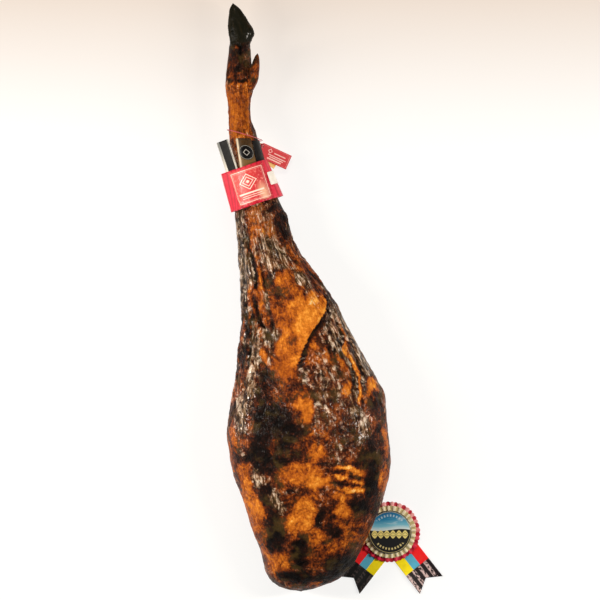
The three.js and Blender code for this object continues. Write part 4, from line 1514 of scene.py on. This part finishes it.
        # painted shade in the creases, painted highlights on their lips, and darker hollows and lighter
        # crests along the wrinkles
        tone = tone + 0.1 * np.minimum(grooves, 0) + 0.1 * np.maximum(grooves, 0) + 0.22 * wrinkles
        # a painted shadow close beside the flap's overhanging edge
        tone = tone - 0.3 * edge * np.exp(-d / 2.2) * (side > 0)
        # painted highlights: paler specks on the wrinkles' crests, where the tone is not yet light
        dust = dust + 0.5 * wrinkles * (tone < 0.6)
        below = smoothstep(-0.2, -0.75, normals[..., 2])
        tone, calm, dust = laid_over((tone, calm, dust), Zone.HIDDEN, below)
        hoof = smoothstep(360, 368, y + 3 * ragged.cloud(points, 9, 3))
        claw = smoothstep(330, 342, y + 3 * ragged.cloud(points, 9, 3)) * smoothstep(-71, -67, x)
        return {"tone": np.clip(tone, 0, 1.1), "calm": calm, "dust": np.clip(dust, 0, 1),
                "fibres": self.fibre_share(x, y), "horn": np.maximum(hoof, 0.6 * claw)}

    def build(self) -> bpy.types.Object:
        """The ham as one closed piece, its toes and dewclaws joined to the foot."""
        ham = add_shell("ham_leg", self.body(), Rind(), Slot.RIND, "ham", uv_name=SKIN_MAP)
        horns = []
        for k, (stations, spread, rings, around) in enumerate(
                ((self.toe, self.toe_spread, 44, 30), (self.dewclaw, self.dewclaw_spread, 30, 22))):
            for side in (-1, 1):
                left = 0.01 + 0.5 * k + 0.25 * (side > 0)
                shell = self.horn(stations, side, spread, rings, around)
                shell = shell.in_chart((left, 0.925), (left + 0.23, 0.99))
                horn = in_scene("horn", shell.mesh("horn", SKIN_MAP))
                join = ham.modifiers.new("join", "BOOLEAN")
                join.operation, join.solver, join.object = "UNION", "MANIFOLD", horn
                horns.append(horn)
        applied(ham)
        for horn in horns:
            bpy.data.objects.remove(horn)
        mesh = ham.data
        count = len(mesh.vertices)
        co, normal = np.zeros(count * 3), np.zeros(count * 3)
        mesh.vertices.foreach_get("co", co)
        mesh.vertices.foreach_get("normal", normal)
        painted = self.paint(co.reshape(-1, 3) / MM - SHIFT, normal.reshape(-1, 3))
        for name, values in painted.items():
            mesh.attributes.new(name, "FLOAT", "POINT").data.foreach_set("value", values.astype(np.float32))
        mesh.polygons.foreach_set("use_smooth", np.ones(len(mesh.polygons), bool))
        return ham


# ---------------------------------------------------------------- what is worn round the shank
@dataclass
class Band:
    """The card sleeve round the shank, with the square label and the side sticker on it.

    It was pressed flat once, so its section runs in two straight legs from a crease to an ellipse.
    Its own frame has x across the shank, y along it and z up.
    """

    centre: Triple = (-71.8, 161.7, 50)
    tilt: float = math.radians(18.2)
    half_height: float = 28.5
    # middle, half width, half depth and crease, at the foot and at the top
    foot: tuple[float, ...] = (3.8, 36.6, 33.6, -37)
    top: tuple[float, ...] = (6.8, 27.6, 31.5, -34)
    crease_lift: float = 6.0
    crease_pull: float = 1.5  # how fast the crease moves out as the section grows
    straight: float = 0.16
    card: float = 0.7
    gap: float = 0.5
    print_thickness: float = 0.45
    rows: int = 26
    around: int = 180
    label: tuple[float, ...] = (-22.7, -25.5, 48.5, 50.5)  # left, foot, width, height
    sticker: tuple[float, ...] = (28.5, -9, 0.52, 19)  # left, foot, end turn, height

    def placed(self, local: Array) -> Array:
        """Points of the band's frame in the drawing frame."""
        x, y, z = np.moveaxis(local, -1, 0)
        return xyz(*turned(x, y, self.tilt), z) + np.array(self.centre)

    def section(self, level: Array, turn: Array, grow: Array) -> Array:
        """A point of the sleeve.

        Seen in the ellipse's own units the crease is a point outside a unit circle; the two tangents
        from it touch the circle at its bearing plus and minus the arc cosine of one over its distance.
        The section is those two tangents and the arc between them.

        Args:
            level: height up the band, from its middle.
            turn: 0 at the crease, over the top, round the right and underneath, to 1 at the crease.
            grow: how far outside the inner face.

        Returns:
            Points in the band's frame.
        """
        k = (level / self.half_height + 1) / 2
        middle, wide, deep, crease = (lerp(a, b, k) for a, b in zip(self.foot, self.top))
        wide, deep = wide + grow, deep + grow
        cx, cy = (crease - self.crease_pull * grow - middle) / wide, self.crease_lift / deep
        bearing, reach = np.arctan2(cy, cx), np.arccos(1 / np.hypot(cx, cy))
        first, last = bearing - reach, bearing + reach - FULL_TURN
        arc = lerp(first, last, np.clip((turn - self.straight) / (1 - 2 * self.straight), 0, 1))
        px, py = np.cos(arc), np.sin(arc)
        on_arc = np.clip(np.minimum(turn, 1 - turn) / self.straight, 0, 1)
        px, py = lerp(cx, px, on_arc), lerp(cy, py, on_arc)
        return xyz(middle + wide * px, level, deep * py)

    def turn_at(self, level: Array, x: Array) -> Array:
        """The turn on the upper side where the outer face has this x, found by halving."""
        low, high = np.zeros(np.broadcast(level, x).shape), np.full(np.broadcast(level, x).shape, 0.5)
        for _ in range(30):
            middle = (low + high) / 2
            left = self.section(level, middle, self.card)[..., 0] < x
            low, high = np.where(left, middle, low), np.where(left, high, middle)
        return low

    def sleeve(self) -> Shell:
        """The closed wall: rows round the shank, columns up its outer face and down its inner face."""
        side = np.linspace(-1, 1, self.rows)
        column = np.concatenate([side, side[::-1]])[None, :]
        outer = (np.arange(2 * self.rows) < self.rows)[None, :]
        turn = (np.arange(self.around) / self.around)[:, None]
        ripple = 0.35 * Noise(41).cloud(xyz(turn * 160, column * 28, 0), 22, 2)
        grow = np.where(outer, self.card - 0.1, 0.15) + ripple * np.abs(column) ** 2
        level = column * (self.half_height + 0.25 * np.sin(turn * FULL_TURN * 3 + column))
        return ring_shell(self.placed(self.section(level, turn, grow)))

    def stuck_on(self, left: float, foot: float, right: float | None, end_turn: float, height: float,
                 columns: int) -> Shell:
        """A card stuck on the band, following its bend, its free corners a little lifted.

        Args:
            left: x of its left edge.
            foot: height of its lower edge.
            right: x of its right edge, or None where end_turn says how far round it goes.
            end_turn: the turn of its right edge.
            height: of the card.
            columns: points across.

        Returns:
            The closed card.
        """
        u, v = grid(40, columns)
        level = foot + v * height
        start = self.turn_at(level, np.full(level.shape, left))
        end = self.turn_at(level, np.full(level.shape, right)) if right is not None else end_turn
        corner = np.abs(2 * u - 1) ** 6 * np.abs(2 * v - 1) ** 6
        grow = self.card + self.gap + 0.15 + 0.7 * corner + 0.15 * np.sin(v * 7 + u * 3)
        return sheet_shell(self.placed(self.section(level, lerp(start, end, u), grow)), self.print_thickness)

    def build(self) -> None:
        """The sleeve, the label and the sticker."""
        crimson = BandPrint("band_card", tint(204, 18, 48), tint(222, 56, 80), 0.5, 0.04)
        add_shell("neck_band_sleeve", self.sleeve(), crimson, Slot.RED_CARD, "neck_band")
        left, foot, width, height = self.label
        label = self.stuck_on(left, foot, left + width, 0, height, 40)
        ink = LabelPrint("label_print", tint(190, 44, 46), tint(206, 72, 62), 0.42, 0.06)
        add_shell("front_label_card", label, ink, Slot.LABEL, "front_label")
        left, foot, end_turn, height = self.sticker
        sticker = self.stuck_on(left, foot, None, end_turn, height, 24)
        white = Card("white_paper", tint(238, 232, 222), tint(214, 204, 190), 0.6)
        add_shell("side_sticker_paper", sticker, white, Slot.WHITE_CARD, "side_sticker")


@dataclass
class Collar:
    """The black collar and the glossy film label that hug the shank above the band."""

    leg: Leg
    foot: float = 176.0
    top: float = 229.0
    inset: float = 3.0
    card_span: Pair = (-38, 60)  # degrees round the shank, 90 is straight up
    film_span: Pair = (63, 118)
    card_curl: float = 0.7
    film_curl: float = 0.9
    off_skin: float = 1.35
    thickness: float = 0.5

    def wrapped(self, span: Pair, inset: float, curl: float) -> Shell:
        """A sheet at a distance from the skin between two angles, its top edge curling out.

        Args:
            span: angles in degrees.
            inset: how far its top stays below the full height.
            curl: how far the top corners stand off, mm.

        Returns:
            The closed sheet.
        """
        u, v = grid(40, 40)
        angle = np.radians(lerp(span[1], span[0], u))
        level = lerp(self.foot, self.top - inset, v)
        lift = curl * v ** 3 * (0.4 + 0.6 * np.abs(2 * u - 1) ** 2)
        points = self.leg.surface(self.leg.place_of(level), angle, self.off_skin + lift)
        return sheet_shell(points, self.thickness)

    def build(self) -> None:
        """The collar and the film."""
        black = Card("black_card", tint(9, 8, 8), tint(34, 26, 20), 0.45, 0.02, 0.12)
        add_shell("collar_card", self.wrapped(self.card_span, self.inset, self.card_curl), black,
                  Slot.BLACK_CARD, "collar")
        film = FilmPrint("film_print", tint(44, 30, 17), tint(78, 54, 28), 0.3, 0.08, 0.2)
        add_shell("film_label_sheet", self.wrapped(self.film_span, 0, self.film_curl), film, Slot.FILM,
                  "film_label")


@dataclass
class Leaflet:
    """A small folded leaflet standing between the band and the shank, in the band's frame."""

    band: Band
    width: float = 20.0
    height: float = 53.0
    pages: float = 1.4
    card: float = 0.5
    gap: float = 0.3
    middle: Pair = (-17.6, 17)
    foot: float = 20.0
    turn: float = math.radians(38.4)
    back_shift: float = -2.8

    def leaf(self, thickness: float, level: float, shift: float, bow: float) -> Shell:
        """One leaf: a sheet bowed along its height and turned about its own length.

        Args:
            thickness: of the leaf.
            level: how far its middle lies in front of the leaflet's middle.
            shift: sideways.
            bow: how far its middle stands out, mm.

        Returns:
            The closed leaf.
        """
        u, v = grid(30, 12)
        x, y = (u - 0.5) * self.width + shift, (v - 0.5) * self.height
        z = level + bow * (1 - (2 * u - 1) ** 2) * v
        x, z = turned(x, z, self.turn)
        local = xyz(self.middle[0] + x, self.foot + self.height / 2 + y, self.middle[1] + z)
        return sheet_shell(self.band.placed(local), thickness)

    def build(self) -> None:
        """Pages between a black cover and a pale back leaf that stands out on the left."""
        apart = (self.pages + self.card) / 2 + self.gap
        paper = Card("leaflet_paper", tint(226, 222, 212), tint(198, 192, 180), 0.55)
        cover = CoverPrint("leaflet_cover", tint(8, 7, 7), tint(24, 20, 18), 0.45, 0.03, 0.12)
        back = Card("leaflet_back", tint(206, 202, 196), tint(176, 170, 164), 0.45, 0.1)
        for name, node, finish, slot, thickness, level, shift, bow in (
                ("leaflet_pages_block", "leaflet_pages", paper, Slot.WHITE_CARD, self.pages, 0, 0.5, 0.2),
                ("leaflet_cover_card", "leaflet_cover", cover, Slot.BLACK_CARD, self.card, apart, 0, 0.4),
                ("leaflet_back_leaf", "leaflet_back", back, Slot.WHITE_CARD, self.card, -apart,
                 self.back_shift, 0)):
            add_shell(name, self.leaf(thickness, level, shift, bow), finish, slot, node)


@dataclass
class SwingTag:
    """The red tag, the yellow leaf behind it and the string that ties them to the shank."""

    diameter: float = 1.2
    hole_end: tuple[Triple, ...] = ((-54.4, 227.6, 31.5), (-56.2, 228.4, 38))
    loop_centre: Triple = (-81.6, 235.4, 51)
    loop_reach: Pair = (23, 25.6)
    loop_slope: float = math.tan(math.radians(16.3))
    loop_degrees: tuple[float, ...] = (-8, 20, 50, 80, 110, 140, 170, 200, 230, 260, 290, 318)
    back_end: tuple[Triple, ...] = ((-59.4, 227.5, 33), (-56, 226.6, 30.6))
    string_length: float = 0.168

    corner: Triple = (-56.5, 226, 29)
    length: float = 54.0
    width: float = 21.6
    cut: float = 5.0
    card: float = 0.7
    turn: float = math.radians(-24)
    droop: float = math.radians(27.5)
    back_shorter: float = 10.0
    back_shift: Pair = (-3.2, -1.2)
    back_drop: float = 1.3
    back_fan: float = math.radians(-7)
    leaf_thickness: float = 0.5
    # the eyelet's radius, its wire's radius, how far it lies in from the corner and over the card
    eyelet_sizes: tuple[float, ...] = (2.0, 0.55, 4.6, 0.45)

    def route(self) -> Array:
        """The string's route: from the hole over the shank's right side, round it and back to the hole."""
        a = np.radians(self.loop_degrees)
        x = self.loop_reach[0] * np.cos(a)
        loop = xyz(x, -x * self.loop_slope, self.loop_reach[1] * np.sin(a)) + self.loop_centre
        return (np.vstack([self.hole_end, loop, self.back_end]) + SHIFT) * MM

    def string(self) -> bpy.types.Object:
        """The string as one smooth open curve of its real diameter."""
        points = self.route()
        curve = bpy.data.curves.new("tag_string_twine", "CURVE")
        curve.dimensions = "3D"
        curve.bevel_depth = self.diameter / 2 * MM
        curve.bevel_resolution = 3
        curve.resolution_u = 10
        curve.use_fill_caps = True
        spline = curve.splines.new("BEZIER")
        spline.bezier_points.add(len(points) - 1)
        for knot, place in zip(spline.bezier_points, points):
            knot.co = place
            knot.handle_left_type = knot.handle_right_type = "AUTO"
        piece = add_piece("tag_string_twine", curve, Twine().material(), Slot.STRING, "tag_string")
        return piece

    def hung(self, x: Array, y: Array, z: Array) -> Array:
        """Points of the tag's own frame where it hangs: drooped about y, then turned about z."""
        x, z = turned(x, z, -self.droop)
        return xyz(*turned(x, y, self.turn), z) + self.corner

    def leaf(self, length: float, shift: Pair, drop: float, fan: float, curl: float) -> Shell:
        """One leaf of the tag, held at its cut corner.

        In the tag's own frame it runs along x and hangs to minus its width in y, its string corner cut
        off at 45 degrees; it is fanned about z before it is hung.

        Args:
            length: of the leaf.
            shift, drop: where its corner lies against the tag's.
            fan: angle about its corner.
            curl: how far its far end bends up, mm.

        Returns:
            The closed leaf.
        """
        u, v = grid(24, 48)
        x = u * length
        y = lerp(-self.width, -np.maximum(self.cut - x, 0), v)
        z = curl * u ** 2 - 0.5 * curl * np.sin(np.pi * u) * (1 - v)
        x, y = turned(x, y, fan)
        return sheet_shell(self.hung(x + shift[0], y + shift[1], z - drop), self.leaf_thickness)

    def eyelet(self) -> Shell:
        """The metal ring in the tag's corner: a small circle carried round a larger one."""
        a = (FULL_TURN * np.arange(32) / 32)[:, None]
        b = (FULL_TURN * np.arange(12) / 12)[None, :]
        radius, wire, inset, level = self.eyelet_sizes
        r = radius + wire * np.cos(b)
        return ring_shell(self.hung(r * np.cos(a) + inset, r * np.sin(a) - inset, wire * np.sin(b) + level))

    def build(self) -> None:
        """The string first, then the two leaves and the eyelet."""
        self.string()
        red = TagPrint("tag_print", tint(198, 20, 34), tint(214, 48, 54), 0.45, 0.06)
        leaf = self.leaf(self.length, (0, 0), -self.card / 2, 0, 1.6)
        add_shell("hang_tag_leaf", leaf, red, Slot.RED_CARD, "hang_tag")
        gold = Card("gold_card", tint(226, 178, 92), tint(238, 208, 140), 0.5)
        back = self.leaf(self.length - self.back_shorter, self.back_shift, self.back_drop, self.back_fan,
                         -1.0)
        add_shell("hang_tag_back_leaf", back, gold, Slot.GOLD_CARD, "hang_tag_back")
        maroon = Card("eyelet_paint", tint(92, 12, 26), tint(120, 26, 38), 0.3, 0.6)
        add_shell("hang_tag_eyelet", self.eyelet(), maroon, Slot.RED_CARD)


# ---------------------------------------------------------------- the rosette
def at_rosette(points: Array) -> Array:
    """Points measured from the rosette's middle, in the drawing frame."""
    return points + np.array([*ROSETTE_CENTRE, 0])


@dataclass(frozen=True)
class Ruffle:
    """A strip of ribbon gathered into a ring of pleats."""

    hole: float
    radius: float
    level: float  # of its inner edge
    rise: float  # how much higher its outer edge is
    wave: float  # half the height of a pleat at the edge
    pleats: int
    scallop: float  # how far the edge reaches out and in
    thickness: float = 0.35
    pleat_points: int = 14
    across_points: int = 16

    def shell(self) -> tuple[Shell, Array]:
        """The ring about the rosette's middle.

        Every pleat is one wave of the angle, sharpened by taking its size to a power, and grows with
        the distance from the hole; the edge reaches further out on each crest.

        Returns:
            The closed ring and, for each of its points, how high on its pleat it lies, from 0 to 1.
        """
        around, across = self.pleats * self.pleat_points, self.across_points
        a = (FULL_TURN * np.arange(around) / around)[:, None]
        out = np.concatenate([np.linspace(0, 1, across), np.linspace(1, 0, across)])[None, :]
        under = np.where(np.arange(2 * across) < across, 0.0, 1.0)[None, :]
        wander = Noise(50 + self.pleats).cloud(xyz(np.cos(a) * 30, np.sin(a) * 30, 0), 9, 2)
        fold = np.sin(self.pleats * a + 0.9 * wander)
        crest = signed_power(fold, 0.6)
        strength = out ** 0.7
        r = lerp(self.hole, self.radius - 0.6, out)
        r = r + self.scallop * strength * out * (np.abs(fold) - 0.5) + 0.5 * wander * out
        z = self.level + self.rise * out + self.wave * (1 + strength * crest) + 0.25 * wander * out
        points = xyz(r * np.cos(a), r * np.sin(a), z - under * self.thickness)
        height = (1 + crest * strength) / 2
        return ring_shell(at_rosette(points)), height.ravel()

    def flat(self) -> Pair:
        """The strip's width and its length, once round the outer edge, in metres."""
        return (self.radius - self.hole) * MM, FULL_TURN * self.radius * MM


@dataclass
class Rosette:
    """The award rosette lying beside the butt: two tails, a backing, two pleated rings and a button."""

    button_radius: float = 31.4
    button_thick: float = 2.6
    outer: Ruffle = Ruffle(22, 44, 3.6, -1.2, 1.2, 22, 1.6)
    inner: Ruffle = Ruffle(20, 38.5, 6.0, 0.6, 1.0, 28, 1.1)
    tail_width: float = 42.0
    tail_length: float = 98.0
    tail_notch: float = 13.0
    tail_root: Pair = (23, 30)  # width and length of the narrow top
    tail_spread: float = math.radians(38)
    tail_levels: Pair = (0.55, 1.45)
    backing: Triple = (30, 1, 2.1)  # radius, thickness and level
    button_level: float = 9.4
    ribbon: float = 0.35

    def tail(self, side: int, level: float) -> Shell:
        """A swallowtail ribbon lying flat with a slow wave.

        U runs from its inner to its outer edge and V from its root to its end. Its width grows from
        the root's to the full one over the root's length, and its length is least on its middle line.

        Args:
            side: -1 for the left tail, +1 for the right one.
            level: of its middle above the floor.

        Returns:
            The closed ribbon.
        """
        u, v = grid(80, 44)
        reach = self.tail_length - self.tail_notch * (1 - np.abs(2 * u - 1))
        y = -v * reach
        half = lerp(self.tail_root[0], self.tail_width, np.clip(-y / self.tail_root[1], 0, 1)) / 2
        x = side * half * (2 * u - 1)
        free = smoothstep(40, 70, -y)
        z = level + free * (0.7 * np.sin(v * 9 + 2 * side + u) + 0.7 + 1.3 * np.abs(2 * u - 1) ** 4 * v)
        return sheet_shell(at_rosette(xyz(*turned(x, y, side * self.tail_spread), z)), self.ribbon)

    def disc(self, radius: float, thick: float, level: float, dome: float) -> Shell:
        """A round plate: its profile runs out under it, round its edge in a half circle and back over it,
        and rises by a dome towards the middle."""
        edge = thick / 2
        across, bend = np.linspace(0, 1, 20)[1:], np.linspace(-math.pi / 2, math.pi / 2, 11)
        flat = (radius - edge) * across
        r = np.concatenate([flat, radius - edge + edge * np.cos(bend[1:-1]), flat[::-1]])
        z = np.concatenate([0 * flat, edge + edge * np.sin(bend[1:-1]),
                            thick + dome * (1 - across[::-1] ** 2)])
        a = FULL_TURN * np.arange(96)[None, :] / 96
        rings = xyz(r[:, None] * np.cos(a), r[:, None] * np.sin(a), level + z[:, None])
        ends = (at_rosette(np.array([0, 0, level + h])) for h in (0, thick + dome))
        return capped_tube(at_rosette(rings), *ends)

    def build_tails(self) -> None:
        """Both tails, yellow inside, blue in the middle and red outside, with dark ends."""
        stripes = (tint(255, 232, 8), tint(84, 176, 206), tint(240, 20, 30))
        for side, name, dark, flecks, level in ((-1, "left", tint(8, 7, 8), 0.08, self.tail_levels[0]),
                                                (1, "right", tint(30, 22, 24), 0.95, self.tail_levels[1])):
            satin = StripedSatin("tail_satin_" + name, tint(255, 255, 255), tint(120, 100, 60),
                                 self.tail_width, self.tail_length, stripes=stripes, dark=dark,
                                 flecks=flecks, notch=self.tail_notch / self.tail_length)
            node = f"rosette_tail_{name}"
            piece = add_shell(node + "_ribbon", self.tail(side, level), satin, Slot.STRIPED, node)

    def build_ruffles(self) -> None:
        """The crimson ring, turning pink towards its top with a painted highlight, and, over it, the cream
        one.
        """
        middle = (ROSETTE_CENTRE[1] + SHIFT[1]) * MM
        highlight_span = (middle - 0.02, middle + 0.03)
        crimson = Satin("crimson_satin", tint(212, 44, 72), tint(176, 18, 44), 22, 250,
                        tint(236, 168, 166), highlight_span)
        cream = Satin("cream_satin", tint(240, 226, 190), tint(190, 172, 120), 18, 240)
        for side, ruffle, finish, slot in (("outer", self.outer, crimson, Slot.RED_RIBBON),
                                           ("inner", self.inner, cream, Slot.CREAM_RIBBON)):
            shell, height = ruffle.shell()
            piece = add_shell(f"rosette_{side}_pleats", shell, finish, slot, f"rosette_{side}_ruffle")
            # the height on each pleat, which the satin turns into painted shade low in the pleats
            fold = piece.data.attributes.new("fold", "FLOAT", "POINT")
            fold.data.foreach_set("value", height.astype(np.float32))
            ruffle.flat()

    def build(self) -> None:
        """Everything from the floor up."""
        radius, thick, level = self.backing
        white = Card("backing_card", tint(226, 220, 208), tint(204, 194, 178), 0.6)
        add_shell("rosette_backing_card", self.disc(radius, thick, level, 0), white, Slot.WHITE_CARD,
                  "rosette_backing")
        self.build_tails()
        self.build_ruffles()
        centre = (at_rosette(np.zeros(3)) + SHIFT) * MM
        button = self.disc(self.button_radius, self.button_thick - 0.2, self.button_level, 0.5)
        add_shell("rosette_button_badge", button, ButtonPrint(centre, self.button_radius), Slot.BUTTON,
                  "rosette_button")


def main() -> None:
    """Builds the studio, the string and every piece in order."""
    logging.basicConfig(level=logging.INFO, format="%(name)s: %(message)s")
    studio, leg, band = Studio(), Leg(), Band()
    studio.camera()
    SwingTag().build()
    leg.build()
    band.build()
    Collar(leg).build()
    Leaflet(band).build()
    Rosette().build()
    studio.floor()
    studio.light()


if __name__ == "__main__":
    main()
